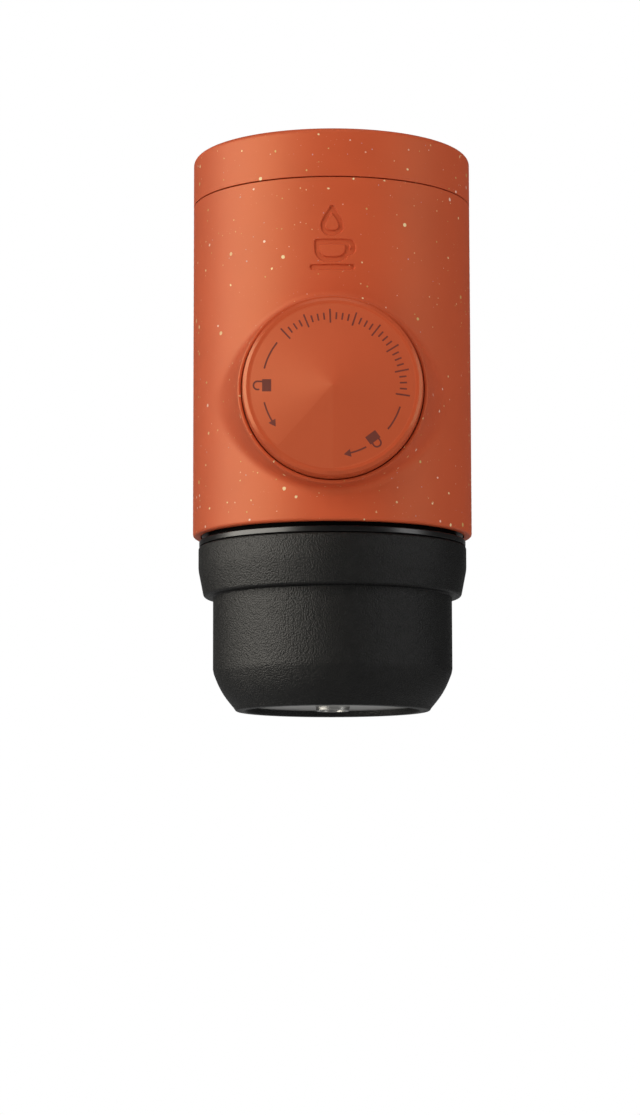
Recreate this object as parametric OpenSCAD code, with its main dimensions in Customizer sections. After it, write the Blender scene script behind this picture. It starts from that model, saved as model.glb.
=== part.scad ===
// Handheld manual espresso maker, outlet down, in millimetres.
// Origin: centre of the outlet rim. +Z runs up to the tank end, and -Y is the side of the pump knob.

/* [Body] */
// Outside diameter of the body and of the tank cap
body_d = 62; // [60:0.5:75]
// Wall of the outer shell
shell_wall = 1.8; // [1.5:0.1:2.2]
// Length of the outer shell
shell_len = 74.4; // [73:0.2:90]
// Height of the knob's axis above the shell's lower edge
knob_rise = 27.3; // [26:0.1:29]
// Height of the tank cap
cap_h = 10.75; // [9:0.25:13]
// Open seam between the shell and the tank cap
seam_gap = 0.25; // [0.15:0.05:0.4]
// Inner ledge of the shell that stops the tank socket
ledge_w = 0.5; // [0.4:0.1:0.6]

/* [Knob and collar] */
// Diameter of the knob's face
knob_face_d = 36.3; // [34:0.1:37]
// Largest diameter of the knob
knob_d = 38.5; // [37.5:0.1:46.5]
// How far the knob's face stands in front of the body
knob_stand = 9.3; // [8:0.1:11]
// How far the collar stands in front of the body
collar_stand = 5; // [4:0.1:5.5]
// Wall of the collar at its lip
collar_wall = 0.75; // [0.6:0.05:1]
// Radius of the fairing that sweeps from the collar into the body
fairing_r = 41; // [36:0.5:50]
// Height of the shallow cone on the knob's face
face_cone_h = 1; // [0.2:0.05:1.5]
// Angle that the flat facet takes of the knob's face
facet_angle = 42; // [20:1:60]
// Angle that the knob turns to lock
lock_angle = 45; // [30:1:60]

/* [Pump] */
// Travel of the piston
stroke = 16; // [13:0.5:16.5]
// Bore of the pump barrel
bore_d = 12; // [10:0.2:12.6]
// Wall of the steel barrel
barrel_wall = 1.2; // [0.8:0.1:1.4]
// Diameter of the piston rod
rod_d = 10; // [8:0.5:10.4]
// Outside diameter of the piston sleeve
sleeve_d = 31; // [30:0.5:31.5]
// Wall of the piston sleeve
sleeve_wall = 2.2; // [1.8:0.1:2.4]
// Depth of the locking track in the sleeve
track_depth = 1; // [0.8:0.1:1.2]
// Width of a locking lug
lug_w = 3; // [2:0.5:4]
// Wire diameter of the return spring
spring_wire = 1.4; // [1:0.1:1.5]
// Turns of the return spring
spring_turns = 8; // [6:1:9]
// Distance of the valve column from the body's axis
column_y = 18; // [17:0.5:18.5]
// Diameter of the valve balls
ball_d = 4; // [3:0.1:4.4]

/* [Tank] */
// Wall of the water tank
tank_wall = 1.5; // [1.2:0.1:1.8]
// Thickness of the tank seal
seal_t = 1.8; // [1.4:0.1:2.4]
// Depth of the tank socket above its floor
socket_depth = 8; // [7:0.5:10]

/* [Brewing head] */
// Height of the portafilter
pf_h = 36.3; // [34:0.1:44]
// Outside diameter of the portafilter's collar
pf_collar_d = 59.5; // [58:0.5:60.5]
// Outside diameter of the portafilter's cup
pf_cup_d = 53; // [52:0.5:54]
// Outside diameter of the outlet rim
rim_d = 42; // [41:0.5:44]
// Height of the underside of the portafilter's collar
pf_step_z = 25.2; // [24:0.1:27]
// Depth of the filter basket
basket_depth = 14; // [11:0.5:16.8]
// Bore of the outlet nozzle
nozzle_d = 5.8; // [4.5:0.1:7]
// Pitch of the holes in the basket's floor
basket_pitch = 3.4; // [3:0.1:4.5]
// Pitch of the holes in the shower screen
screen_pitch = 4; // [3.5:0.1:5]

/* [Hidden] */
$fn = 96;

// Colours
rust = [0.77, 0.31, 0.17];
black = [0.09, 0.09, 0.09];
graphite = [0.22, 0.22, 0.23];
smoke = [0.25, 0.24, 0.22];
steel = [0.72, 0.72, 0.70];
rubber = [0.80, 0.78, 0.74];
acetal = [0.88, 0.88, 0.86];

// Clearances
fit_gap = 0.05; // between pieces that are pressed or fixed together
run_gap = 0.2; // between pieces that turn or slide in each other by hand
piston_gap = 0.03; // between the piston and its barrel
eps = 0.01;

// Radii of the body
body_r = body_d / 2;
shell_in_r = body_r - shell_wall;
core_r = shell_in_r - run_gap;
flange_r = shell_in_r + 0.4; // ring of the brewing head that the shell stands on
edge_r = 0.6;
seam_edge_r = 0.25;
seat_edge = 0.15;

// Levels of the brewing head
ring_show = 2.3; // black ring that shows between the portafilter and the shell
head_bottom = pf_h + 0.3;
shell_z0 = pf_h + ring_show;
shell_z1 = shell_z0 + shell_len;
head_top = shell_z0 + 1.4;
knob_z = shell_z0 + knob_rise;

// Piston and guide, as distances f in front of the body's axis and radii about the knob's axis
face_f = body_r + knob_stand;
collar_f = body_r + collar_stand;
knob_r = knob_d / 2;
collar_in_r = knob_r + run_gap;
collar_r = collar_in_r + collar_wall;
collar_step = 6.5; // depth of the collar's plain bore before its wall is cored
lip_r = 0.35;
sleeve_r = sleeve_d / 2;
sleeve_in_r = sleeve_r - sleeve_wall;
bush_in_r = sleeve_r + run_gap;
bush_r = bush_in_r + 1.5;
guide_in_r = bush_r + fit_gap;
guide_r = guide_in_r + 1.5;
bulkhead_f = 4;
bulkhead_t = 3;
spring_seat_f = bulkhead_f + bulkhead_t;
cap_in_f = face_f - 2.5;
disc_t = 2.4; // front disc of the sleeve, and each end plate of the housing
disc_f = cap_in_f - disc_t;
flange_t = 2;
rod_flange_f = disc_f - run_gap;
sleeve_tail_f = spring_seat_f + 1;
lug_f = 26.3;
lug_t = 1.5;
bush_front_f = body_r + 2.4;
rod_r = rod_d / 2;
bore_r = bore_d / 2;
barrel_r = bore_r + barrel_wall;
barrel_bore_r = barrel_r + fit_gap;
spring_room = sleeve_in_r - barrel_bore_r - spring_wire; // what the barrel's tube and gaps share
barrel_house_r = barrel_bore_r + min(1.95, 0.42 * spring_room);
spring_mean_r = sleeve_in_r - spring_wire / 2 - 0.26 * spring_room;
barrel_front_f = 13;
barrel_house_f = 16;
port_r = 1.3;
barrel_back_f = -column_y - 1.8;
piston_tip_f = -column_y + 1.8;
piston_groove = 1.7;
plug_groove = 1.3;
seal_land_t = 1.3;
seal_w = 2;

// Pump housing and valve column
housing_top = knob_z + guide_r + 0.7;
column_r = 6.5;
plug_back_f = -column_y - column_r;
plug_seal_f = plug_back_f + 0.9;
plug_seal_w = 1.6;
cavity_r = 3;
insert_r = cavity_r - fit_gap;
ball_r = ball_d / 2;
seat_bore_r = 0.6 * ball_r;
ball_drop = sqrt(ball_r * ball_r - seat_bore_r * seat_bore_r) + 0.02;
valve_web = barrel_bore_r + 1.05;
inlet_floor_z = knob_z + valve_web;
inlet_seat_t = 3.9;
inlet_seat_z = housing_top - 0.1 - inlet_seat_t;
inlet_ball_z = inlet_seat_z - ball_drop;
outlet_top_z = knob_z - valve_web;
outlet_seat_t = 2.9;
outlet_seat_z = outlet_top_z - fit_gap - outlet_seat_t;
outlet_ball_z = outlet_seat_z - ball_drop;
retainer_z = head_top + 2;
retainer_t = 4;
way_seal_t = 0.9; // ring seals of the water ways above and below the column
socket_seal_in_r = 3.4;
socket_seal_r = 5;
head_seal_in_r = 2.6;
head_seal_r = 4;
valve_coil_r = 1.5;
valve_wire = 0.4;

// Screws
screw_ring_r = 19.5;
screw_r = 1.15;
screw_head_r = 2.4;
screw_head_t = 1.5;
pilot_r = screw_r + fit_gap;
boss_r = 2.8;
knob_screw_r = 1.5;
knob_screw_head_r = 6.6;
knob_screw_head_t = 0.9;
knob_screw_len = 11;
knob_screw_f = disc_f + 1.25; // underside of the screw's head and front end of the rod

// Tank and socket
socket_floor_t = 2.2;
socket_floor_z = housing_top + socket_floor_t;
socket_top_z = socket_floor_z + socket_depth;
socket_in_r = core_r - 2.1;
neck_r = socket_in_r - 2 * run_gap;
neck_in_r = neck_r - 1.6;
strainer_pitch = 1.7;
strainer_hole_r = 0.5;
tank_r = shell_in_r - ledge_w - 2 * run_gap;
tank_in_r = tank_r - tank_wall;
seal_top_z = socket_floor_z + seal_t;
tank_step_z = socket_top_z + 0.5;
ledge_z = socket_top_z + 0.3; // underside of the shell's inner ledge
ledge_t = 1.1;
cap_z0 = shell_z1 + seam_gap;
cap_top_z = cap_z0 + cap_h;
cap_plate_t = 2.4;
tank_top_z = cap_top_z - cap_plate_t;

// Brewing head
spigot_r = 26.4;
spigot_in_r = 24;
pf_collar_r = pf_collar_d / 2;
pf_cup_r = pf_cup_d / 2;
pf_thread_r = spigot_r + 0.5;
pf_ledge_z = pf_step_z + 0.2;
rim_t = 0.6;
gasket_z = pf_ledge_z + rim_t;
gasket_t = 2;
gasket_r = 25.5;
screen_r = 21.6;
screen_t = 0.6;
screen_z = gasket_z + gasket_t - 0.2 - screen_t;
shower_z = gasket_z + gasket_t + 0.9;
shower_plate_t = 3;
chamber_r = 20.4;
screen_boss_r = 3.6; // boss that the screen's screw goes into
channel_boss_r = 4.6; // boss around the water's way down
basket_r = 22.6;
sheet_t = 0.5;
basket_z = pf_ledge_z - basket_depth;
basket_hole_r = 0.6;
screen_hole_r = 0.8;
pf_in_r = basket_r + 0.6;
pf_floor_z = 9.2;
plate_r = 18.9;
plate_z = 1.2;
plate_seat_z = 5.2;
plate_seal_t = 0.6;
plate_flange_r = 21.2;
nozzle_r = nozzle_d / 2;
nozzle_len = 2;
channel_r = 2;

// Points of an arc about c, from angle a0 to angle a1
function arc(c, r, a0, a1, n = 8) = [
    for (i = [0 : n])
        let (a = a0 + (a1 - a0) * i / n)
            c + r * [cos(a), sin(a)]
];

// Centres of a hexagonal field of holes with this pitch that lie between two radii
function hole_field(pitch, r_min, r_max) = [
    for (i = [-12 : 12], j = [-12 : 12])
        let (p = pitch * [i + j / 2, j * sqrt(3) / 2])
            if (norm(p) <= r_max && norm(p) >= r_min) p
];

// Height along a coil with closed ends, at share t of its length
function coil_lift(t, turns) =
    let (flat = 0.75 / turns)
        t < flat ? 0.12 * t
        : t > 1 - flat ? 1 - 0.12 * (1 - t)
        : 0.12 * flat + (t - flat) * (1 - 0.24 * flat) / (1 - 2 * flat);

// Turns local Z to the knob's axis, pointing to the front, with its origin on the body's axis
module on_pump_axis() {
    translate([0, 0, knob_z]) rotate([90, 0, 0]) children();
}

module revolve(points) {
    rotate_extrude() polygon(points);
}

// Flat ring between two radii and two heights
module ring(r_in, r_out, z0, z1) {
    revolve([[r_in, z0], [r_out, z0], [r_out, z1], [r_in, z1]]);
}

module disc(r, z0, z1) {
    translate([0, 0, z0]) cylinder(r = r, h = z1 - z0);
}

module on_column() {
    translate([0, column_y, 0]) children();
}

module at_screws() {
    for (a = [45 : 90 : 315])
        rotate([0, 0, a]) translate([screw_ring_r, 0, 0]) children();
}

// Round-wire coil spring of turns turns, with its wire's centre from z0 to z1
module coil(mean_r, wire_d, turns, z0, z1, steps = 20, sides = 8) {
    n = turns * steps;
    points = [
        for (i = [0 : n], k = [0 : sides - 1])
            let (
                t = i / n,
                a = 360 * turns * t,
                b = 360 * k / sides,
                r = mean_r + wire_d / 2 * cos(b)
            )
                [r * cos(a), r * sin(a), z0 + (z1 - z0) * coil_lift(t, turns) + wire_d / 2 * sin(b)]
    ];
    sides_faces = [
        for (i = [0 : n - 1], k = [0 : sides - 1])
            let (
                a = i * sides + k,
                b = i * sides + (k + 1) % sides,
                c = b + sides,
                d = a + sides
            )
                each [[a, b, c], [a, c, d]]
    ];
    start = [[for (k = [sides - 1 : -1 : 0]) k]];
    end = [[for (k = [0 : sides - 1]) n * sides + k]];
    polyhedron(points, concat(sides_faces, start, end), convexity = 10);
}

// ---------------------------------------------------------------- body

// Collar and fairing as one turned form about the knob's axis. Its side is an arc that dips
// slightly into the body at both sides and ends almost parallel to the knob at the lip. A wall
// given makes the form that is cored out behind it.
module fairing_form(wall = 0) {
    dip = 0.3;
    centre_x = collar_r + fairing_r;
    centre_f = sqrt(pow(body_r + fairing_r - dip, 2) - centre_x * centre_x);
    meet_a = atan(centre_f / centre_x);
    top_f = collar_f - lip_r - (wall > 0 ? collar_step : 0);
    top_a = asin((centre_f - top_f) / (fairing_r + wall));
    root_f = centre_f - (fairing_r + wall) * sin(meet_a);
    on_pump_axis() revolve(concat(
        [[0, root_f]],
        arc([centre_x, centre_f], fairing_r + wall, 180 + meet_a, 180 + top_a, 14),
        wall > 0 ? [[0, top_f]]
            : concat(arc([collar_r - lip_r, collar_f - lip_r], lip_r, 0, 90, 4), [[0, collar_f]])
    ));
}

module outer_shell() {
    color(rust) difference() {
        union() {
            revolve(concat(
                [[0, shell_z0]],
                arc([body_r - edge_r, shell_z0 + edge_r], edge_r, -90, 0),
                arc([body_r - seam_edge_r, shell_z1 - seam_edge_r], seam_edge_r, 0, 90, 3),
                [[0, shell_z1]]
            ));
            intersection() {
                fairing_form();
                disc(body_d, shell_z0, shell_z1);
            }
        }
        fairing_form(shell_wall);
        revolve([
            [0, shell_z0 - 1], [shell_in_r + seat_edge, shell_z0 - 1],
            [shell_in_r + seat_edge, shell_z0], [shell_in_r, shell_z0 + seat_edge],
            [shell_in_r, ledge_z],
            [shell_in_r - ledge_w, ledge_z], [shell_in_r - ledge_w, ledge_z + ledge_t],
            [shell_in_r, ledge_z + ledge_t + ledge_w], [shell_in_r, shell_z1 + 1], [0, shell_z1 + 1]
        ]);
        on_pump_axis() disc(collar_in_r, 10, collar_f + 5);
    }
}

module tank_cap() {
    top_r = 1.3;
    color(rust) revolve(concat(
        [[0, tank_top_z], [tank_r + fit_gap, tank_top_z], [tank_r + fit_gap, cap_z0]],
        arc([body_r - seam_edge_r, cap_z0 + seam_edge_r], seam_edge_r, -90, 0, 3),
        arc([body_r - top_r, cap_top_z - top_r], top_r, 0, 90),
        [[0, cap_top_z]]
    ));
}

module water_tank() {
    color(smoke) revolve(concat(
        [[neck_in_r, seal_top_z], [neck_r, seal_top_z], [neck_r, tank_step_z]],
        arc([tank_r - 0.6, tank_step_z + 0.6], 0.6, -90, 0, 4),
        [[tank_r, tank_top_z], [0, tank_top_z], [0, tank_top_z - tank_wall]],
        arc([tank_in_r - 2, tank_top_z - tank_wall - 2], 2, 90, 0, 6),
        [[tank_in_r, tank_step_z + 2.6], [neck_in_r, tank_step_z + 0.8]]
    ));
}

module tank_seal() {
    color(rubber) ring(neck_in_r - 0.9, neck_r - 0.1, socket_floor_z, seal_top_z);
}

module tank_socket() {
    color(graphite) difference() {
        union() {
            revolve([
                [0, housing_top], [core_r, housing_top], [core_r, socket_top_z],
                [socket_in_r + 0.4, socket_top_z], [socket_in_r, socket_top_z - 0.4],
                [socket_in_r, socket_floor_z], [0, socket_floor_z]
            ]);
            at_screws() disc(boss_r, housing_top, socket_floor_z + 3);
        }
        at_screws() disc(pilot_r, housing_top - 1, socket_floor_z + 2.2);
        on_column() disc(channel_r + 0.2, housing_top - 1, socket_floor_z + 1);
        on_column() ring(socket_seal_in_r, socket_seal_r, housing_top - 1, housing_top + way_seal_t);
    }
}

module inlet_strainer() {
    color(steel) on_column() difference() {
        disc(socket_seal_r, socket_floor_z, socket_floor_z + screen_t);
        for (p = hole_field(strainer_pitch, 0, socket_seal_r - 0.8))
            translate([p.x, p.y, socket_floor_z - 1]) cylinder(r = strainer_hole_r, h = 3);
    }
}

module socket_seal() {
    color(rubber) on_column() ring(
        socket_seal_in_r + fit_gap, socket_seal_r - fit_gap, housing_top, housing_top + way_seal_t
    );
}

module cross_recess(length, width) {
    for (a = [0, 90])
        rotate([0, 0, a]) translate([-length / 2, -width / 2, 0]) cube([length, width, 2]);
}

module screw(length) {
    difference() {
        union() {
            disc(screw_r, -length, eps);
            revolve(concat(
                [[0, 0], [screw_head_r, 0]],
                arc([screw_head_r - 0.7, screw_head_t - 0.7], 0.7, 0, 90, 4),
                [[0, screw_head_t]]
            ));
        }
        translate([0, 0, screw_head_t - 0.8]) cross_recess(2.6, 0.6);
    }
}

module socket_screws() {
    color(steel) at_screws()
        translate([0, 0, housing_top - disc_t]) rotate([180, 0, 0]) screw(disc_t + 4);
}

// ---------------------------------------------------------------- pump

// Open frame: two end plates tied by a bulkhead, a rib and the valve column
module housing_frame() {
    intersection() {
        union() {
            disc(core_r, head_top, head_top + disc_t);
            disc(core_r, housing_top - disc_t, housing_top);
            translate([-core_r, -bulkhead_f - bulkhead_t, head_top])
                cube([2 * core_r, bulkhead_t, housing_top - head_top]);
            translate([-1.2, -bulkhead_f - 1, head_top])
                cube([2.4, column_y + bulkhead_f, housing_top - head_top]);
            on_column() disc(column_r, head_top, housing_top);
            on_pump_axis() disc(guide_r, bulkhead_f, body_r);
        }
        disc(core_r, 0, cap_top_z);
    }
    on_pump_axis() disc(barrel_house_r, plug_back_f, barrel_house_f);
}

module pump_housing() {
    // side windows that lighten the bulkhead
    window_r = 3.4;
    color(graphite) difference() {
        housing_frame();
        on_pump_axis() ring(barrel_house_r, guide_in_r, spring_seat_f, body_r + 5);
        on_pump_axis() disc(guide_in_r, barrel_house_f, body_r + 5);
        on_pump_axis() disc(barrel_bore_r, plug_back_f - 1, barrel_house_f + 1);
        on_column() disc(cavity_r, inlet_floor_z, housing_top + 1);
        on_column() disc(cavity_r, head_top - 1, outlet_top_z);
        on_column() disc(port_r, outlet_top_z - 1, inlet_floor_z + 1);
        at_screws() disc(screw_r + run_gap, head_top - 1, head_top + disc_t + 1);
        at_screws() disc(screw_r + run_gap, housing_top - disc_t - 1, housing_top + 1);
        for (side = [-1, 1], level = [-1, 1])
            translate([side * (guide_r + window_r + 0.6), 0, knob_z + level * 11])
                rotate([90, 0, 0]) disc(window_r, 0, 10);
    }
}

module pump_barrel() {
    color(steel) difference() {
        on_pump_axis() ring(bore_r, barrel_r, barrel_back_f, barrel_front_f);
        on_column() disc(port_r, knob_z - barrel_r - 1, knob_z + barrel_r + 1);
    }
}

module barrel_plug() {
    groove_r = barrel_r - plug_groove;
    color(acetal) on_pump_axis() revolve([
        [0, plug_back_f - 2], [barrel_house_r, plug_back_f - 2], [barrel_house_r, plug_back_f],
        [barrel_r, plug_back_f], [barrel_r, plug_seal_f], [groove_r, plug_seal_f],
        [groove_r, plug_seal_f + plug_seal_w], [barrel_r, plug_seal_f + plug_seal_w],
        [barrel_r, barrel_back_f],
        [0, barrel_back_f]
    ]);
}

module plug_seal() {
    color(rubber) on_pump_axis()
        ring(
            barrel_r - plug_groove + fit_gap, barrel_r,
            plug_seal_f + fit_gap, plug_seal_f + plug_seal_w - fit_gap
        );
}

module rod_guide() {
    color(acetal) on_pump_axis()
        ring(rod_r + fit_gap, barrel_r, barrel_front_f, barrel_house_f);
}

// Flanged bush in the collar: it guides the sleeve, and its two lugs run in the sleeve's tracks
module guide_bush() {
    tail_f = lug_f - 3.7;
    color(black) on_pump_axis() {
        revolve([
            [bush_in_r, tail_f], [bush_r, tail_f], [bush_r, body_r], [knob_r, body_r],
            [knob_r, bush_front_f - 0.4], [knob_r - 0.4, bush_front_f],
            [bush_in_r + 0.4, bush_front_f], [bush_in_r, bush_front_f - 0.4]
        ]);
        intersection() {
            ring(bush_in_r - track_depth, bush_in_r + 0.5, lug_f, lug_f + lug_t);
            translate([-lug_w / 2, -sleeve_d, lug_f - 1]) cube([lug_w, 2 * sleeve_d, lug_t + 2]);
        }
    }
}

module piston_rod() {
    groove_r = bore_r - piston_groove;
    land_r = bore_r - 0.1;
    seal_f = piston_tip_f + seal_land_t;
    color(acetal) on_pump_axis() difference() {
        revolve([
            [0, piston_tip_f], [land_r - 0.4, piston_tip_f], [land_r, piston_tip_f + 0.4],
            [land_r, seal_f], [groove_r, seal_f], [groove_r, seal_f + seal_w],
            [land_r, seal_f + seal_w], [land_r, seal_f + seal_w + 1.2],
            [rod_r, seal_f + seal_w + 1.6], [rod_r, rod_flange_f - flange_t],
            [sleeve_in_r - 2 * run_gap, rod_flange_f - flange_t],
            [sleeve_in_r - 2 * run_gap, rod_flange_f], [rod_r, rod_flange_f],
            [rod_r, knob_screw_f], [0, knob_screw_f]
        ]);
        disc(knob_screw_r + fit_gap, knob_screw_f - knob_screw_len - 2, knob_screw_f + 1);
    }
}

module piston_seal() {
    seal_f = piston_tip_f + seal_land_t;
    color(rubber) on_pump_axis() ring(
        bore_r - piston_groove + piston_gap, bore_r - piston_gap,
        seal_f + fit_gap, seal_f + seal_w - fit_gap
    );
}

module return_spring() {
    half = spring_wire / 2 + piston_gap;
    color(steel) on_pump_axis() coil(
        spring_mean_r, spring_wire, spring_turns,
        spring_seat_f + half, rod_flange_f - flange_t - half
    );
}

// One locking track: a leg along the stroke, a short turn at each end, and the way in at the tail
module track() {
    gap = 0.3;
    half_w = lug_w / 2 + gap;
    half_a = asin(half_w / sleeve_r);
    legs = [lug_f - gap, lug_f - stroke - gap];
    translate([-half_w, 0, legs[1]]) cube([2 * half_w, sleeve_d, stroke + lug_t + 2 * gap]);
    for (f = legs)
        translate([0, 0, f]) rotate([0, 0, 90 - half_a])
            rotate_extrude(angle = 2 * half_a + lock_angle) square([sleeve_d, lug_t + 2 * gap]);
    rotate([0, 0, lock_angle]) translate([-half_w, 0, sleeve_tail_f - 1])
        cube([2 * half_w, sleeve_d, legs[1] + lug_t - sleeve_tail_f + 1]);
}

module piston_sleeve() {
    screw_recess_r = knob_screw_head_r + 0.4;
    track_floor_r = sleeve_r - track_depth;
    color(black) on_pump_axis() difference() {
        revolve([
            [rod_r + run_gap, disc_f], [sleeve_in_r, disc_f], [sleeve_in_r, sleeve_tail_f],
            [sleeve_r - 0.4, sleeve_tail_f], [sleeve_r, sleeve_tail_f + 0.4],
            [sleeve_r, cap_in_f], [screw_recess_r, cap_in_f],
            [screw_recess_r, disc_f + 1.2], [rod_r + run_gap, disc_f + 1.2]
        ]);
        difference() {
            for (side = [0, 180])
                rotate([0, 0, side]) track();
            disc(track_floor_r, 0, face_f);
        }
    }
}

module knob_screw() {
    color(steel) on_pump_axis() difference() {
        union() {
            disc(knob_screw_r, knob_screw_f - knob_screw_len, knob_screw_f + eps);
            disc(knob_screw_head_r, knob_screw_f, knob_screw_f + knob_screw_head_t);
        }
        translate([0, 0, knob_screw_f + 0.3]) cross_recess(3.2, 0.7);
    }
}

// Pressed-in cap: its face is a shallow cone, and a plane through the tip cuts one flat facet
module knob_cap() {
    face_r = knob_face_d / 2;
    skirt_f = collar_f - 2;
    round_r = 0.7;
    cone_r = face_r - 0.8;
    taper = atan((knob_r - face_r) / (face_f - collar_f));
    facet_mid = 249;
    facet_slope = atan(face_cone_h / (cone_r * cos(facet_angle / 2)));
    color(rust) on_pump_axis() difference() {
        revolve(concat(
            [[0, cap_in_f], [sleeve_r + fit_gap, cap_in_f], [sleeve_r + fit_gap, skirt_f],
             [knob_r, skirt_f], [knob_r, collar_f + 0.5]],
            arc([face_r - round_r, face_f - round_r], round_r, taper, 90, 6),
            [[cone_r, face_f], [0, face_f + face_cone_h]]
        ));
        translate([0, 0, face_f + face_cone_h]) rotate([0, 0, facet_mid]) rotate([0, facet_slope, 0])
            translate([0, -knob_d, 0]) cube([knob_d, 2 * knob_d, face_cone_h]);
    }
}

// ---------------------------------------------------------------- valves

module valve_insert(z0, z1) {
    on_column() ring(seat_bore_r, insert_r, z0, z1);
}

module valve_ball(z) {
    on_column() translate([0, 0, z]) sphere(r = ball_r);
}

// Coil from its floor up to where its wire meets the ball
module valve_spring(floor_z, ball_z, turns) {
    reach = ball_r + valve_wire / 2;
    on_column() coil(
        valve_coil_r, valve_wire, turns, floor_z + valve_wire / 2 + 0.02,
        ball_z - sqrt(reach * reach - valve_coil_r * valve_coil_r) - 0.05, 14, 6
    );
}

module inlet_seat() {
    color(acetal) valve_insert(inlet_seat_z, inlet_seat_z + inlet_seat_t);
}

module inlet_ball() {
    color(steel) valve_ball(inlet_ball_z);
}

module inlet_spring() {
    color(steel) valve_spring(inlet_floor_z, inlet_ball_z, 5);
}

module outlet_seat() {
    color(acetal) valve_insert(outlet_seat_z, outlet_seat_z + outlet_seat_t);
}

module outlet_ball() {
    color(steel) valve_ball(outlet_ball_z);
}

module outlet_spring() {
    color(steel) valve_spring(retainer_z + retainer_t, outlet_ball_z, 6);
}

module spring_retainer() {
    color(acetal) valve_insert(retainer_z, retainer_z + retainer_t);
}

// ---------------------------------------------------------------- brewing head

module brew_head() {
    plate_top = shower_z + shower_plate_t;
    seat_z = gasket_z + gasket_t;
    color(black) difference() {
        union() {
            revolve([
                [0, plate_top], [spigot_in_r, plate_top], [spigot_in_r, head_top],
                [core_r, head_top], [core_r, shell_z0 - fit_gap], [flange_r, shell_z0 - fit_gap],
                [flange_r, head_bottom + 0.3], [flange_r - 0.3, head_bottom],
                [spigot_r, head_bottom], [spigot_r, gasket_z + 0.7],
                [spigot_r - 0.4, gasket_z + 0.3], [gasket_r + fit_gap, gasket_z + 0.3],
                [gasket_r + fit_gap, seat_z], [screen_r + 0.2, seat_z],
                [screen_r + 0.2, screen_z + screen_t], [chamber_r, screen_z + screen_t],
                [chamber_r, shower_z], [screen_boss_r, shower_z],
                [screen_boss_r, screen_z + screen_t],
                [0, screen_z + screen_t]
            ]);
            at_screws() disc(boss_r, plate_top - 1, head_top);
            on_column() disc(channel_boss_r, plate_top - 1, head_top);
        }
        at_screws() disc(pilot_r, plate_top + 0.5, head_top + 1);
        on_column() disc(channel_r, shower_z - 1, head_top + 1);
        on_column() ring(head_seal_in_r, head_seal_r, head_top - way_seal_t, head_top + 1);
        disc(pilot_r, screen_z - 1, plate_top - 0.6);
    }
}

module head_seal() {
    color(rubber) on_column()
        ring(head_seal_in_r + fit_gap, head_seal_r - fit_gap, head_top - way_seal_t, head_top);
}

module head_screws() {
    color(steel) at_screws() translate([0, 0, head_top + disc_t]) screw(disc_t + 6.4);
}

module shower_screen() {
    color(steel) difference() {
        disc(screen_r, screen_z, screen_z + screen_t);
        for (p = hole_field(screen_pitch, screen_pitch, chamber_r - 1.4))
            translate([p.x, p.y, screen_z - 1]) cylinder(r = screen_hole_r, h = 3, $fn = 24);
        disc(screw_r + 0.1, screen_z - 1, screen_z + 2);
    }
}

module screen_screw() {
    color(steel) translate([0, 0, screen_z]) rotate([180, 0, 0]) screw(4);
}

module brew_gasket() {
    color(rubber) ring(screen_r + 0.3, gasket_r, gasket_z, gasket_z + gasket_t);
}

module filter_basket() {
    bend = 1.2;
    color(steel) difference() {
        revolve(concat(
            [[0, basket_z]],
            arc([basket_r - bend, basket_z + bend], bend, -90, 0, 5),
            [[basket_r, pf_ledge_z], [gasket_r + 0.5, pf_ledge_z], [gasket_r + 0.5, gasket_z],
             [basket_r - sheet_t, gasket_z]],
            arc([basket_r - bend, basket_z + bend], bend - sheet_t, 0, -90, 5),
            [[0, basket_z + sheet_t]]
        ));
        for (p = hole_field(basket_pitch, 0, basket_r - 3.2))
            translate([p.x, p.y, basket_z - 1]) cylinder(r = basket_hole_r, h = 3, $fn = 24);
    }
}

// Outside of the portafilter from the outlet rim up: a bevelled cup, then the gripping collar
function pf_outside() =
    let (
        rim_r = rim_d / 2,
        chin = [rim_r + 1, 1.1],
        cheek = [pf_cup_r - 0.2, 9.4],
        low_r = pf_collar_r - 1.05
    )
        concat(
            arc([rim_r - 0.7, 0.9], 0.9, -90, -40, 4),
            // the bevel swells slightly between chin and cheek
            [for (t = [0 : 0.125 : 1])
                chin + t * (cheek - chin) + 0.75 * sin(180 * t) * [1, -0.55]],
            [[pf_cup_r, 10.8], [pf_cup_r, pf_step_z]],
            arc([low_r - 0.8, pf_step_z + 0.8], 0.8, -90, -10, 5),
            [[pf_collar_r - 0.15, pf_step_z + 6.2], [pf_collar_r, pf_step_z + 7]],
            arc([pf_collar_r - 0.6, pf_h - 0.6], 0.6, 0, 90, 4)
        );

module portafilter() {
    inside = [
        [pf_thread_r + 0.4, pf_h], [pf_thread_r, pf_h - 0.4], [pf_thread_r, pf_ledge_z],
        [pf_in_r, pf_ledge_z], [pf_in_r, pf_floor_z], [plate_flange_r + 0.7, plate_seat_z + 1.2],
        [plate_flange_r + 0.2, plate_seat_z], [plate_r + 0.2, plate_seat_z], [plate_r + 0.2, 0.5],
        [plate_r + 0.5, 0]
    ];
    color(black) revolve(concat(pf_outside(), inside));
}

module outlet_plate() {
    wall_in_r = plate_r - 0.6;
    flange_z = plate_seat_z + plate_seal_t;
    color(steel) revolve([
        [nozzle_r, 0], [nozzle_r + 0.7, 0], [nozzle_r + 0.9, plate_z], [plate_r - 0.3, plate_z],
        [plate_r, plate_z + 0.3], [plate_r, flange_z], [plate_flange_r, flange_z],
        [plate_flange_r, flange_z + 0.6], [wall_in_r, flange_z + 0.6], [wall_in_r, plate_z + 1.6],
        [nozzle_r + 0.5, nozzle_len + 0.2], [nozzle_r, nozzle_len]
    ]);
}

module plate_seal() {
    color(rubber) ring(plate_r + 0.3, plate_flange_r, plate_seat_z, plate_seat_z + plate_seal_t);
}

// ---------------------------------------------------------------- nodes

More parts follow.
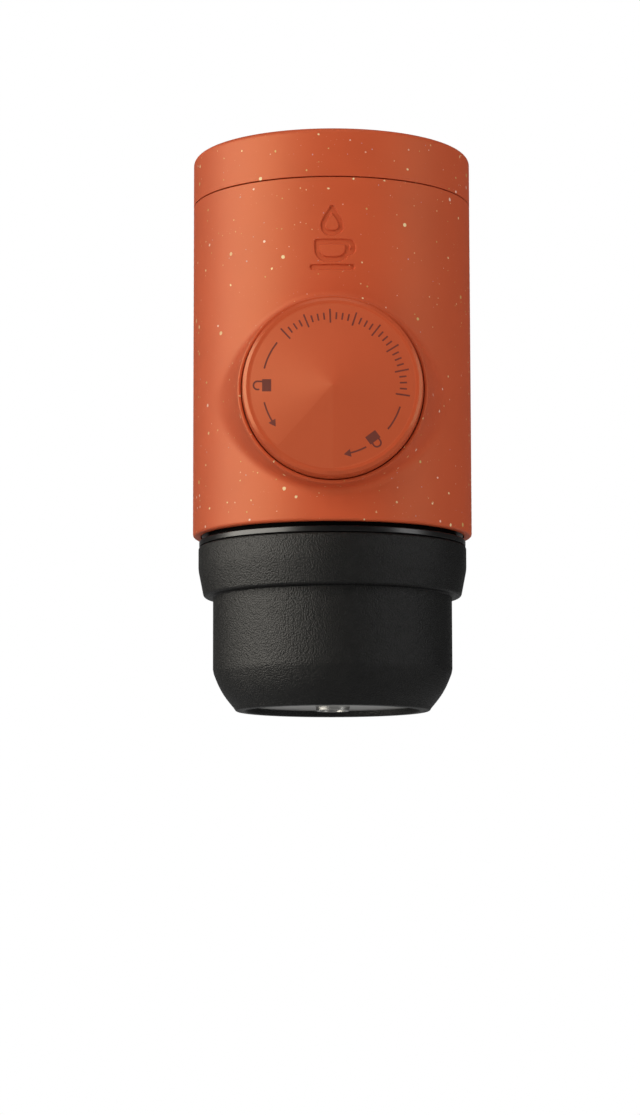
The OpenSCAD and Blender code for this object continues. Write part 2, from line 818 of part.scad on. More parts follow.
outer_shell();
tank_cap();
water_tank();
tank_seal();
tank_socket();
inlet_strainer();
socket_seal();
socket_screws();
pump_housing();
pump_barrel();
barrel_plug();
plug_seal();
rod_guide();
guide_bush();
piston_rod();
piston_seal();
return_spring();
piston_sleeve();
knob_screw();
knob_cap();
inlet_seat();
inlet_ball();
inlet_spring();
outlet_seat();
outlet_ball();
outlet_spring();
spring_retainer();
brew_head();
head_seal();
head_screws();
shower_screen();
screen_screw();
brew_gasket();
filter_basket();
portafilter();
outlet_plate();
plate_seal();
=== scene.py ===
"""Looks of a handheld manual espresso maker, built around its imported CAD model.

All lengths are in metres, in the CAD model's own frame: +Z runs up the body to the tank end,
and -Y points out of the pump knob.
"""

import logging
import math
from collections.abc import Callable, Sequence
from dataclasses import dataclass
from enum import Enum

import bmesh
import bpy
import numpy as np
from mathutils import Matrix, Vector


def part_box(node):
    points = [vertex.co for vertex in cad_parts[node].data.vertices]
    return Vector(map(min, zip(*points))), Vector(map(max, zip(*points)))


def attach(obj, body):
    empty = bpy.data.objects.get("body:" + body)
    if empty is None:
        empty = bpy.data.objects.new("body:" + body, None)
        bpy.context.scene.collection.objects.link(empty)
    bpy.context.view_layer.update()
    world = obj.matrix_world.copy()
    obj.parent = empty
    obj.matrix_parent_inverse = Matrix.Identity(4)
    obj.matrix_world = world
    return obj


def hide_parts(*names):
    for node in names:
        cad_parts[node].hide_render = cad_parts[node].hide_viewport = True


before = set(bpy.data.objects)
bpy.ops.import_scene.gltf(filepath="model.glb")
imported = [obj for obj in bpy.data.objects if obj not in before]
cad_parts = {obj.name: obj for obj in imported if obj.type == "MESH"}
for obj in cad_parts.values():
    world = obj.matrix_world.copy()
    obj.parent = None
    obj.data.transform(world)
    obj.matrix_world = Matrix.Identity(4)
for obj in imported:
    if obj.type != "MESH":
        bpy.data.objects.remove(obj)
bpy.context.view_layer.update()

logging.basicConfig(level=logging.INFO, format="%(message)s")
LOG = logging.getLogger("espresso_maker")

MM = 0.001
TURN = 2 * math.pi
MERGE = 0.0001 * MM
TINY = 1e-9
SHARP = math.radians(32)

# roundings that the moulded parts share
HAIR = 0.1 * MM
CRISP = 0.15 * MM
FINE = 0.2 * MM
EDGE = 0.3 * MM
SOFT = 0.5 * MM
BROAD = 1 * MM

Socket = bpy.types.NodeSocket
Colour = tuple[float, ...]


def low(node: str) -> Vector:
    """Lowest corner of a CAD node."""
    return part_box(node)[0]


def high(node: str) -> Vector:
    """Highest corner of a CAD node."""
    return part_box(node)[1]


KNOB_Z = (low("knob_cap").z + high("knob_cap").z) / 2
CONE_R = 17.35 * MM
FACET = math.radians(42)
FACET_MIDDLE = math.radians(249)


# ---------------- shader tools


def rgb(red: int, green: int, blue: int) -> Colour:
    """Linear colour of a screen colour: c / 12.92 when dark, else ((c + 0.055) / 1.055) ** 2.4."""
    screen = np.array([red, green, blue]) / 255.0
    linear = np.where(screen <= 0.04045, screen / 12.92, ((screen + 0.055) / 1.055) ** 2.4)
    return (*map(float, linear), 1.0)


def darker(colour: Colour, share: float) -> Colour:
    """A colour with its light cut to a share."""
    return (*(part * share for part in colour[:3]), 1.0)


class Value:
    """A socket that adds Math nodes when it is used in an expression."""

    def __init__(self, net: "Net", socket: Socket) -> None:
        """Keeps an output socket that carries a number, and its node tree."""
        self.net = net
        self.socket = socket

    def math(self, operation: str, other: "Value | float", first: bool = True) -> "Value":
        """Adds one Math node.

        Args:
            operation: the Math node's operation.
            other: the other operand.
            first: whether this value is the first operand.

        Returns:
            The node's result.
        """
        terms = [self, other] if first else [other, self]
        node = self.net.node("ShaderNodeMath", {"operation": operation}, dict(enumerate(terms)))
        return Value(self.net, node.outputs[0])

    def __add__(self, other: "Value | float") -> "Value":
        """Sum."""
        return self.math("ADD", other)

    __radd__ = __add__

    def __sub__(self, other: "Value | float") -> "Value":
        """Difference."""
        return self.math("SUBTRACT", other)

    def __rsub__(self, other: float) -> "Value":
        """Difference from a number."""
        return self.math("SUBTRACT", other, first=False)

    def __mul__(self, other: "Value | float") -> "Value":
        """Product."""
        return self.math("MULTIPLY", other)

    __rmul__ = __mul__

    def __pow__(self, other: "Value | float") -> "Value":
        """Power."""
        return self.math("POWER", other)

    def above(self, level: float) -> "Value":
        """One where the value is over a level, else zero."""
        return self.math("GREATER_THAN", level)

    def most(self, other: "Value | float") -> "Value":
        """The larger of two values."""
        return self.math("MAXIMUM", other)

    def least(self, other: "Value | float") -> "Value":
        """The smaller of two values."""
        return self.math("MINIMUM", other)

    def step(self, start: "Value | float", end: "Value | float") -> "Value":
        """Smooth step.

        Args:
            start: value at which the result is zero.
            end: value at which the result is one.

        Returns:
            The eased share of the way from start to end.
        """
        sockets = {"Value": self, "From Min": start, "From Max": end}
        node = self.net.node("ShaderNodeMapRange", {"interpolation_type": "SMOOTHSTEP"}, sockets)
        return Value(self.net, node.outputs["Result"])


def length(one: Value, other: Value) -> Value:
    """Length of a vector with two parts."""
    return (one * one + other * other) ** 0.5


def uneven(noise: Value, level: float, spread: float) -> Value:
    """A level that noise moves by half a spread, up and down."""
    return noise * spread + (level - spread / 2)


class Net:
    """Node tree of one material, or of the world."""

    octave_share = 0.55
    patch_edges = (0.3, 0.7)

    def __init__(self, owner: bpy.types.ID) -> None:
        """Empties the owner's node tree.

        Args:
            owner: the material or the world.
        """
        self.owner = owner
        owner.use_nodes = True
        self.tree = owner.node_tree
        self.tree.nodes.clear()

    def node(
        self, kind: str, settings: dict | None = None, sockets: dict | None = None
    ) -> bpy.types.Node:
        """Adds one node of any type.

        Args:
            kind: the node's type name.
            settings: properties, set first; "stops" holds a ramp's places and colours.
            sockets: input names or numbers, each with a number, a Value or a socket.

        Returns:
            The node.
        """
        node = self.tree.nodes.new(kind)
        for key, setting in (settings or {}).items():
            if key == "stops":
                node.color_ramp.interpolation = "CONSTANT"
                ramp = node.color_ramp.elements
                for place, _ in setting[len(ramp):]:
                    ramp.new(place)
                for element, (place, colour) in zip(ramp, setting):
                    element.position = place
                    element.color = colour
            else:
                setattr(node, key, setting)
        for key, given in (sockets or {}).items():
            socket = given.socket if isinstance(given, Value) else given
            if isinstance(socket, bpy.types.NodeSocket):
                self.tree.links.new(socket, node.inputs[key])
            else:
                node.inputs[key].default_value = socket
        return node

    def value(self, node: bpy.types.Node, output: str | int = 0) -> Value:
        """Wraps one output of a node."""
        return Value(self, node.outputs[output])

    def place(self) -> Socket:
        """Object coordinates, in metres."""
        return self.node("ShaderNodeTexCoord").outputs["Object"]

    def noise(self, at: Socket, size: float, detail: float = 2.0) -> bpy.types.Node:
        """Noise texture whose features are about one size across; its detail is in octaves."""
        sockets = {"Vector": at, "Scale": 1.0 / size, "Detail": detail, "Roughness": self.octave_share}
        return self.node("ShaderNodeTexNoise", None, sockets)

    def height(self, at: Socket, size: float, detail: float = 3.0) -> Value:
        """Noise as a height, from about zero to one."""
        return self.value(self.noise(at, size, detail))

    def shift(self, at: Socket, size: float, amount: float) -> Socket:
        """Coordinates pushed about by noise of one size: at + amount * noise colour."""
        sockets = {0: self.noise(at, size).outputs["Color"], 1: (amount,) * 3, 2: at}
        return self.node("ShaderNodeVectorMath", {"operation": "MULTIPLY_ADD"}, sockets).outputs[0]

    def parts(self, vector: Socket) -> list[Value]:
        """Splits a vector or colour into three values."""
        node = self.node("ShaderNodeSeparateXYZ", None, {0: vector})
        return [self.value(node, index) for index in range(3)]

    def mix(self, share: Value, base: object, top: object) -> Socket:
        """Mixes two colours, each numbers or a socket; the share is that of the top one."""
        sockets = {0: share, 6: base, 7: top}  # 6, 7 and output 2 are the node's colours
        return self.node("ShaderNodeMix", {"data_type": "RGBA"}, sockets).outputs[2]

    def mottled(
        self, at: Socket, size: float, tint: Colour, share: float, detail: float = 3.0
    ) -> Socket:
        """A tint with darker patches of one size, where a share of its light is left."""
        patches = self.height(at, size, detail).step(*self.patch_edges)
        return self.mix(patches, darker(tint, share), tint)

    def bump(self, height: Value, depth: float) -> Socket:
        """Normal of a bump; the depth is in metres, from height zero to height one."""
        return self.node("ShaderNodeBump", None, {"Height": height, "Distance": depth}).outputs[0]

    def surface(self, **sockets: object) -> bpy.types.ID:
        """Ends the material with a Principled shader.

        Args:
            sockets: shader inputs, with underscores for the spaces in their names.

        Returns:
            The finished material.
        """
        named = {key.replace("_", " "): given for key, given in sockets.items()}
        shader = self.node("ShaderNodeBsdfPrincipled", None, named)
        self.node("ShaderNodeOutputMaterial", None, {"Surface": shader.outputs[0]})
        return self.owner


# ---------------- finishes


@dataclass(frozen=True)
class Flecks:
    """One size of pale chips in the plastic; radii are shares of the distance between chips."""

    cell: float
    smallest: float
    larger: float
    shown: float
    cover: float
    tones: tuple[tuple[float, Colour], ...]
    power: float = 2.5
    core: float = 0.85

    def add(self, net: Net, at: Socket, base: object) -> Socket:
        """Mixes the chips over a colour.

        A chip reaches r = smallest + larger * c ** power from its cell's point, with c random,
        and is solid as far as core * r.

        Args:
            net: the material's nodes.
            at: the coordinates, made ragged by noise.
            base: the colour under them.

        Returns:
            The colour with the chips.
        """
        cells = net.node("ShaderNodeTexVoronoi", None, {"Vector": at, "Scale": 1.0 / self.cell})
        chance, spread, tone = net.parts(cells.outputs["Color"])
        reach = (spread**self.power) * self.larger + self.smallest
        inside = 1.0 - net.value(cells, "Distance").step(reach * self.core, reach)
        chips = net.node("ShaderNodeValToRGB", {"stops": self.tones}, {0: tone}).outputs[0]
        return net.mix(inside * chance.above(1 - self.shown) * self.cover, base, chips)


@dataclass(frozen=True)
class Terracotta:
    """Matte terracotta plastic with a fine grain, polished in one place."""

    gloss: Colour = (1.0, 0.92, 0.5, 1.0)
    shine: float = 0.3
    patches: float = 22 * MM
    grain: float = 0.35 * MM
    roughness: float = 0.53
    spread: float = 0.12

    def from_knob(self, net: Net, at: Socket) -> Value:
        """Distance from the knob's axis."""
        x, _, z = net.parts(at)
        return length(x, z - KNOB_Z)

    def coat(
        self, net: Net, colour: Socket, grain: Value, normal: Socket, polish: Value
    ) -> bpy.types.ID:
        """Ends the material.

        Args:
            net: the material's nodes.
            colour: its colour.
            grain: the noise that its roughness follows.
            normal: its normal.
            polish: what is taken off its roughness.

        Returns:
            The finished material.
        """
        return net.surface(
            Base_Color=colour,
            Roughness=uneven(grain, self.roughness, self.spread) - polish,
            Normal=normal,
            Specular_IOR_Level=self.shine,
            Specular_Tint=self.gloss,
        )


@dataclass(frozen=True)
class SpeckledShell(Terracotta):
    """Plastic of the shell, with pale flecks moulded into it, and its polished collar."""

    name: str = "speckled_terracotta"
    tint: Colour = rgb(202, 85, 50)
    dark: float = 0.94
    ragged: float = 0.45 * MM
    raggedness: float = 0.3 * MM
    layers: tuple[Flecks, ...] = (
        Flecks(0.9 * MM, 0.075, 0.05, 0.4, 0.5, ((0.0, rgb(228, 150, 118)), (0.6, rgb(206, 150, 132)))),
        Flecks(1.3 * MM, 0.1, 0.07, 0.3, 0.8, (
            (0.0, rgb(224, 188, 132)), (0.35, rgb(232, 186, 160)),
            (0.6, rgb(198, 168, 98)), (0.85, rgb(196, 158, 160)),
        )),
        Flecks(2.4 * MM, 0.1, 0.11, 0.5, 0.95, (
            (0.0, rgb(238, 216, 164)), (0.4, rgb(240, 208, 190)),
            (0.65, rgb(206, 180, 112)), (0.85, rgb(226, 190, 140)),
        )),
    )
    grain_depth: float = 0.010 * MM
    polish: float = 0.2
    lip_r: float = 20.25 * MM
    lip_y: float = -35.8 * MM
    lip_ease: float = 0.2 * MM

    def build(self, net: Net) -> bpy.types.ID:
        """Builds the material."""
        at = net.place()
        colour = net.mottled(at, self.patches, self.tint, self.dark)
        ragged = net.shift(at, self.ragged, self.raggedness)
        for flecks in self.layers:
            colour = flecks.add(net, ragged, colour)
        within = 1 - self.from_knob(net, at).step(self.lip_r - self.lip_ease, self.lip_r)
        before = 1 - net.parts(at)[1].step(self.lip_y - self.lip_ease, self.lip_y)
        grain = net.height(at, self.grain)
        normal = net.bump(grain, self.grain_depth)
        return self.coat(net, colour, grain, normal, within * before * self.polish)


@dataclass(frozen=True)
class FacetedFace(Terracotta):
    """Plastic of the knob, whose face is spun to a shallow cone with one flat facet."""

    name: str = "plain_terracotta"
    tint: Colour = rgb(198, 84, 50)
    dark: float = 0.96
    slope: float = 0.23
    plane_end: float = 1.1
    grain_depth: float = 0.0175 * MM
    polish: float = 0.28
    edge_ease: float = 0.3 * MM

    def fall(self, net: Net, at: Socket) -> Value:
        """How far the face has fallen from its tip: max(r, r cos(a - m) / cos(w / 2)).

        Args:
            net: the material's nodes.
            at: object coordinates.

        Returns:
            The fall, to be multiplied by the slope.
        """
        x, _, z = net.parts(at)
        rise = z - KNOB_Z
        lean = x * math.cos(FACET_MIDDLE) + rise * math.sin(FACET_MIDDLE)
        plane = (lean * (1 / math.cos(FACET / 2))).least(CONE_R * self.plane_end)
        return length(x, rise).least(CONE_R).most(plane)

    def build(self, net: Net) -> bpy.types.ID:
        """Builds the material."""
        at = net.place()
        colour = net.mottled(at, self.patches, self.tint, self.dark)
        grain = net.height(at, self.grain)
        normal = net.bump(grain * self.grain_depth - self.fall(net, at) * self.slope, 1.0)
        edge = self.from_knob(net, at).step(CONE_R, CONE_R + self.edge_ease)
        return self.coat(net, colour, grain, normal, edge * self.polish)


@dataclass(frozen=True)
class GrainedPlastic:
    """Black plastic with a fine spark-eroded grain, like close leather."""

    name: str = "grained_black"
    tint: Colour = rgb(21, 21, 20)
    dark: float = 0.7
    patches: float = 1.5 * MM
    cell: float = 0.36 * MM
    smoothness: float = 0.1
    drift: float = 0.03 * MM
    depth: float = 0.16 * MM
    fine_size: float = 0.252 * MM
    fine_share: float = 0.3
    octaves: float = 2.0
    roughness: float = 0.62
    polish: float = 0.3
    shine: float = 0.27

    def build(self, net: Net) -> bpy.types.ID:
        """Builds the material: a pebble's height is 1 less the distance to its cell's point."""
        at = net.place()
        bent = net.shift(at, self.cell, self.drift)
        sockets = {"Vector": bent, "Scale": 1.0 / self.cell, "Smoothness": self.smoothness}
        cells = net.node("ShaderNodeTexVoronoi", {"feature": "SMOOTH_F1"}, sockets)
        pebble = 1.0 - net.value(cells, "Distance")
        fine = net.height(at, self.fine_size, self.octaves)
        return net.surface(
            Base_Color=net.mottled(at, self.patches, self.tint, self.dark, self.octaves),
            Roughness=self.roughness - pebble * self.polish,
            Normal=net.bump(pebble * (1 - self.fine_share) + fine * self.fine_share, self.depth),
            Specular_IOR_Level=self.shine,
        )


@dataclass(frozen=True)
class PlainPlastic:
    """Plain moulded or machined plastic, rubber or printing ink."""

    name: str
    tint: Colour
    roughness: float = 0.4
    grain: float = 0.5 * MM
    depth: float = 0.008 * MM
    clearness: float = 0.0
    shine: float = 0.5
    patches: float = 6 * MM
    dark: float = 0.86
    spread: float = 0.16

    def build(self, net: Net) -> bpy.types.ID:
        """Builds the material."""
        at = net.place()
        grain = net.height(at, self.grain)
        return net.surface(
            Base_Color=net.mottled(at, self.patches, self.tint, self.dark),
            Roughness=uneven(grain, self.roughness, self.spread),
            Normal=net.bump(grain, self.depth),
            Transmission_Weight=self.clearness,
            Specular_IOR_Level=self.shine,
        )


class Lay(Enum):
    """Which way the fine lines of a metal run."""

    TURNED = "about the body's axis"
    DRAWN = "along Y"
    TUMBLED = "no way"


@dataclass(frozen=True)
class Metal:
    """Steel with fine lines from turning or drawing, or a tumbled surface."""

    name: str
    tint: Colour = rgb(186, 185, 181)
    roughness: float = 0.34
    lay: Lay = Lay.TUMBLED
    line: float = 0.1 * MM
    depth: float = 0.004 * MM
    patches: float = 5 * MM
    dark: float = 0.82
    spread: float = 0.14
    squeeze: float = 0.02
    octaves: float = 2.0

    def lines(self, net: Net, at: Socket) -> Value:
        """Noise drawn out along the lay: it reads the radius and z, or x, a little of y, and z.

        Args:
            net: the material's nodes.
            at: object coordinates.

        Returns:
            The height of the lines.
        """
        x, y, z = net.parts(at)
        if self.lay is Lay.TURNED:
            at = net.node("ShaderNodeCombineXYZ", None, {0: length(x, y), 1: z}).outputs[0]
        elif self.lay is Lay.DRAWN:
            at = net.node("ShaderNodeCombineXYZ", None, {0: x, 1: y * self.squeeze, 2: z}).outputs[0]
        return net.height(at, self.line, self.octaves)

    def build(self, net: Net) -> bpy.types.ID:
        """Builds the material."""
        at = net.place()
        lines = self.lines(net, at)
        return net.surface(
            Base_Color=net.mottled(at, self.patches, self.tint, self.dark),
            Metallic=1.0,
            Roughness=uneven(lines, self.roughness, self.spread),
            Normal=net.bump(lines, self.depth),
        )


class Stuff(Enum):
    """Finishes of the espresso maker, each with its material slot in the record."""

    SHELL = ("shell_plastic", SpeckledShell())
    KNOB = ("shell_plastic", FacetedFace())
    INK = ("shell_plastic", PlainPlastic("brown_ink", rgb(114, 47, 31), 0.5))
    BLACK = ("black_plastic", GrainedPlastic())
    RING = ("black_plastic", PlainPlastic("glossy_black", rgb(18, 17, 17), 0.31, 2 * MM, 0.01 * MM))
    # near-black matte with almost no gloss: painted shade, laid as a sleeve in the head's groove
    PAINTED_SHADE = ("black_plastic", PlainPlastic("painted_shade_black", rgb(9, 9, 9), 0.8, shine=0.04))
    GRAPHITE = ("graphite_plastic", PlainPlastic("filled_graphite", rgb(82, 82, 84), 0.5))
    SMOKE = ("smoked_plastic", PlainPlastic("smoked_clear", rgb(98, 92, 84), 0.12, clearness=0.8))
    NATURAL = ("natural_plastic", PlainPlastic("natural_acetal", rgb(226, 225, 219), 0.35))
    STEEL = ("stainless", Metal("satin_steel", lay=Lay.TURNED))
    TUBE = ("stainless", Metal("honed_steel", lay=Lay.DRAWN))
    PIERCED = ("stainless", Metal("pierced_steel", roughness=0.32))
    WIRE = ("spring_steel", Metal("spring_wire", rgb(188, 188, 186)))
    SCREW = ("screw_steel", Metal("screw_steel", rgb(196, 195, 190)))
    RUBBER = ("silicone", PlainPlastic("white_silicone", rgb(214, 209, 200), 0.55))

    def __init__(self, slot: str, finish: object) -> None:
        """Keeps the material slot in the record, and the finish that makes the material."""
        self.slot = slot
        self.finish = finish

    def material(self) -> bpy.types.ID:
        """The Blender material, built on first use."""
        name = self.finish.name
        found = bpy.data.materials.get(name)
        return found or self.finish.build(Net(bpy.data.materials.new(name)))


# ---------------- surfaces


@dataclass
class Patch:
    """A surface: its points as an (n, 3) array and its faces as an (m, 4) array."""

    points: np.ndarray
    faces: np.ndarray


def grid_faces(rows: int, columns: int, closed: bool = False) -> np.ndarray:
    """Quads of a grid whose last column joins its first; point (i, j) is number i * columns + j.

    Args:
        rows: number of rows.
        columns: number of columns.
        closed: whether the last row joins the first too.

    Returns:
        The faces, as a (rows, columns, 4) array.
    """
    i, j = np.meshgrid(np.arange(rows if closed else rows - 1), np.arange(columns), indexing="ij")
    down, right = (i + 1) % rows, (j + 1) % columns
    quads = [i * columns + j, i * columns + right, down * columns + right, down * columns + j]
    return np.stack(quads, axis=-1)


def join(patches: Sequence[Patch]) -> Patch:
    """Puts patches together, with their point numbers shifted.

    Args:
        patches: the patches.

    Returns:
        One patch.
    """
    starts = np.cumsum([0] + [len(patch.points) for patch in patches[:-1]])
    faces = [patch.faces.reshape(-1, 4) + start for patch, start in zip(patches, starts)]
    return Patch(np.concatenate([patch.points for patch in patches]), np.concatenate(faces))


def arc(
    centre: tuple[float, float], radius: float, start: float, end: float, steps: int = 8
) -> np.ndarray:
    """Arc between two angles in degrees, as a (steps + 1, 2) array."""
    angle = np.radians(np.linspace(start, end, steps + 1))[:, None]
    return np.array(centre) + radius * np.concatenate([np.cos(angle), np.sin(angle)], axis=1)


def outline(*corners: tuple[float, ...], steps: int = 6) -> np.ndarray:
    """Closed outline with rounded corners.

    A corner P between unit directions a and b, with half angle h, takes an arc of radius r about
    P + (a + b) / |a + b| * r / sin(h), from P + a r / tan(h) to P + b r / tan(h).

    Args:
        corners: each corner as radius, height and, optionally, its rounding.
        steps: segments of each arc.

    Returns:
        Points as an (n, 2) array.
    """
    places = np.array([corner[:2] for corner in corners], dtype=float)
    points = []
    for index, corner in enumerate(corners):
        here, rounding = places[index], corner[2] if len(corner) > 2 else 0.0
        if not rounding:
            points.append(here[None])
            continue
        a, b = places[index - 1] - here, places[(index + 1) % len(places)] - here
        a, b = a / np.linalg.norm(a), b / np.linalg.norm(b)
        half = math.acos(float(np.clip(a @ b, -1, 1))) / 2
        middle = here + (a + b) / np.linalg.norm(a + b) * rounding / math.sin(half)
        start = here + a * rounding / math.tan(half) - middle
        end = here + b * rounding / math.tan(half) - middle
        share, sweep = np.linspace(0, 1, steps + 1)[:, None], math.pi - 2 * half
        spread = np.sin((1 - share) * sweep) * start + np.sin(share * sweep) * end
        points.append(middle + spread / math.sin(sweep))
    return np.concatenate(points)


class Axis(Enum):
    """Axes that pieces are turned about: two cross directions, then its own."""

    BODY = ((1, 0, 0), (0, 1, 0), (0, 0, 1))
    PUMP = ((1, 0, 0), (0, 0, 1), (0, -1, 0))

    def place(self, radius: np.ndarray, angle: np.ndarray, height: np.ndarray) -> np.ndarray:
        """Point = centre + r cos(a) u + r sin(a) v + h w.

        Args:
            radius: distances from the axis.
            angle: angles about it.
            height: places along it.

        Returns:
            Points as an (..., 3) array.
        """
        u, v, w = np.array(self.value, dtype=float)
        centre = np.array([0, 0, KNOB_Z if self is Axis.PUMP else 0.0])
        across = (radius * np.cos(angle))[..., None] * u + (radius * np.sin(angle))[..., None] * v
        return centre + across + np.asarray(height)[..., None] * w


def turned(
    profile: np.ndarray,
    axis: Axis = Axis.BODY,
    columns: int = 288,
    cut: Callable[[np.ndarray, np.ndarray], np.ndarray] | None = None,
) -> Patch:
    """Turns a closed profile of radius and height about an axis.

    Args:
        profile: points as an (n, 2) array.
        axis: the axis.
        columns: points round the circle.
        cut: from radii and angles, the height that nothing may stand above.

    Returns:
        The surface.
    """
    angle = np.arange(columns) * TURN / columns
    radius, turn = np.meshgrid(profile[:, 0], angle, indexing="ij")
    height = np.repeat(profile[:, 1:], columns, axis=1)
    if cut:
        height = np.minimum(height, cut(radius, turn))
    points = axis.place(radius, turn, height).reshape(-1, 3)
    return Patch(points, grid_faces(len(profile), columns, closed=True))


def sweep(sections: np.ndarray) -> Patch:
    """Closed skin over sections carried along a path.

    Args:
        sections: the sections' points as an (n, 4, 3) array.

    Returns:
        The surface.
    """
    count, sides = sections.shape[:2]
    ends = np.array([np.arange(sides), np.arange(sides) + (count - 1) * sides])
    faces = np.concatenate([grid_faces(count, sides).reshape(-1, 4), ends])
    return Patch(sections.reshape(-1, 3), faces)


@dataclass(frozen=True)
class Thread:
    """Ridge of a screw thread, which points inwards when its height is negative."""

    radius: float
    height: float
    start: float
    turns: float
    pitch: float = 3.2 * MM
    width: float = 1.3 * MM
    out: tuple[float, ...] = (-0.05, 1.0, 1.0, -0.05)
    along: tuple[float, ...] = (-0.5, -0.22, 0.22, 0.5)
    sections: int = 144
    fades: float = 8.0
    lowest: float = 0.02
    narrowest: float = 0.3

    def skin(self) -> Patch:
        """A trapezium carried round while z rises with the angle; it fades out at both ends."""
        share = np.linspace(0, 1, int(self.turns * self.sections))[:, None]
        fade = np.clip(np.minimum(share, 1 - share) * self.turns * self.fades, self.lowest, 1)
        out, along = np.array([self.out, self.along])
        reach = self.radius + self.height * np.where(out > 0, fade, 1) * out
        wide = self.width * (self.narrowest + (1 - self.narrowest) * fade)
        level = self.start + self.turns * self.pitch * share + along * wide
        return sweep(Axis.BODY.place(reach, share * self.turns * TURN + 0 * reach, level))


def added(name: str, data: bpy.types.ID) -> bpy.types.Object:
    """A new object in the scene."""
    thing = bpy.data.objects.new(name, data)
    bpy.context.scene.collection.objects.link(thing)
    return thing


def build(name: str, patch: Patch, stuff: Stuff, body: str, *nodes: str) -> bpy.types.Object:
    """Makes one closed, smooth piece and hands it to the frame.

    Args:
        name: the piece's name.
        patch: its surface.
        stuff: its finish.
        body: the CAD body that it moves with.
        nodes: the CAD nodes that it stands for.

    Returns:
        The object.
    """
    mesh = bpy.data.meshes.new(name)
    mesh.from_pydata(patch.points, [], patch.faces.reshape(-1, 4).tolist())
    work = bmesh.new()
    work.from_mesh(mesh)
    bmesh.ops.remove_doubles(work, verts=work.verts, dist=MERGE)
    bmesh.ops.dissolve_degenerate(work, edges=work.edges, dist=MERGE)
    loose = [vert for vert in work.verts if not vert.link_faces]
    bmesh.ops.delete(work, geom=loose, context="VERTS")
    wires = [edge for edge in work.edges if not edge.link_faces]
    bmesh.ops.delete(work, geom=wires, context="EDGES")
    bmesh.ops.recalc_face_normals(work, faces=work.faces)
    open_edges = sum(not edge.is_manifold for edge in work.edges)
    work.to_mesh(mesh)
    work.free()
    mesh.shade_smooth()
    mesh.set_sharp_from_angle(angle=SHARP)
    mesh.materials.append(stuff.material())
    piece = added(name, mesh)
    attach(piece, body)
    if nodes:
        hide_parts(*nodes)
    LOG.info("%s: %d faces on %s, %d open edges", name, len(mesh.polygons), body, open_edges)
    return piece


# ---------------- body


@dataclass(frozen=True)
class PressedMark:
    """Pictogram pressed into the shell above the knob: a drop over a cup and its saucer."""

    centre: float = 99.7 * MM
    depth: float = 0.46 * MM
    stroke: float = 0.95 * MM
    ease: float = 0.15 * MM
    drop_size: float = 2.75 * MM
    drop_z: float = 3.75 * MM
    cup_half: float = 3.3 * MM
    cup_top: float = -0.9 * MM
    cup_bottom: float = -4.7 * MM
    cup_round: float = 2.3 * MM
    handle_r: float = 1.2 * MM
    saucer_half: float = 4.3 * MM
    saucer_z: float = -6.4 * MM
    handle_out: float = 0.1 * MM
    handle_up: float = 0.7 * MM
    drop_power: float = 1.5
    drop_points: int = 49

    def strokes(self) -> np.ndarray:
        """Centre lines of the strokes, as an (n, 2, 2) array of segments.

        The drop is x = s sin(a) sin(a / 2) ** p, z = s cos(a) about its centre.

        Returns:
            Each segment's two ends, across and up from the mark's centre.
        """
        a = np.linspace(0, TURN, self.drop_points)
        drop = np.stack([np.sin(a) * np.abs(np.sin(a / 2)) ** self.drop_power, np.cos(a)], axis=-1)
        half, low_z, high_z, bend = self.cup_half, self.cup_bottom, self.cup_top, self.cup_round
        cup = np.concatenate([
            [[-half, high_z]],
            arc((-half + bend, low_z + bend), bend, 180, 270),
            arc((half - bend, low_z + bend), bend, 270, 360),
            [[half, high_z], [-half, high_z]],
        ])
        middle = (half + self.handle_out, (high_z + low_z) / 2 + self.handle_up)
        handle = arc(middle, self.handle_r, 90, -90)
        saucer = np.array([[-self.saucer_half, self.saucer_z], [self.saucer_half, self.saucer_z]])
        lines = [drop * self.drop_size + [0, self.drop_z], cup, handle, saucer]
        return np.concatenate([np.stack([line[:-1], line[1:]], axis=1) for line in lines])

    def depth_at(self, across: np.ndarray, z: np.ndarray) -> np.ndarray:
        """Depth of the mark: full within half a stroke of a line, then easing out.

        Args:
            across: distances across the unrolled sheet.
            z: heights.

        Returns:
            Depths below the sheet, of the same shape.
        """
        point = np.stack([across, z - self.centre], axis=-1)[..., None, :]
        start, end = np.swapaxes(self.strokes(), 0, 1)
        run = end - start
        share = np.clip(((point - start) * run).sum(-1) / (run * run).sum(-1), 0, 1)
        gap = np.linalg.norm(point - start - share[..., None] * run, axis=-1).min(-1)
        inside = np.clip((self.stroke / 2 + self.ease - gap) / self.ease, 0, 1)
        return self.depth * inside * inside * (3 - 2 * inside)


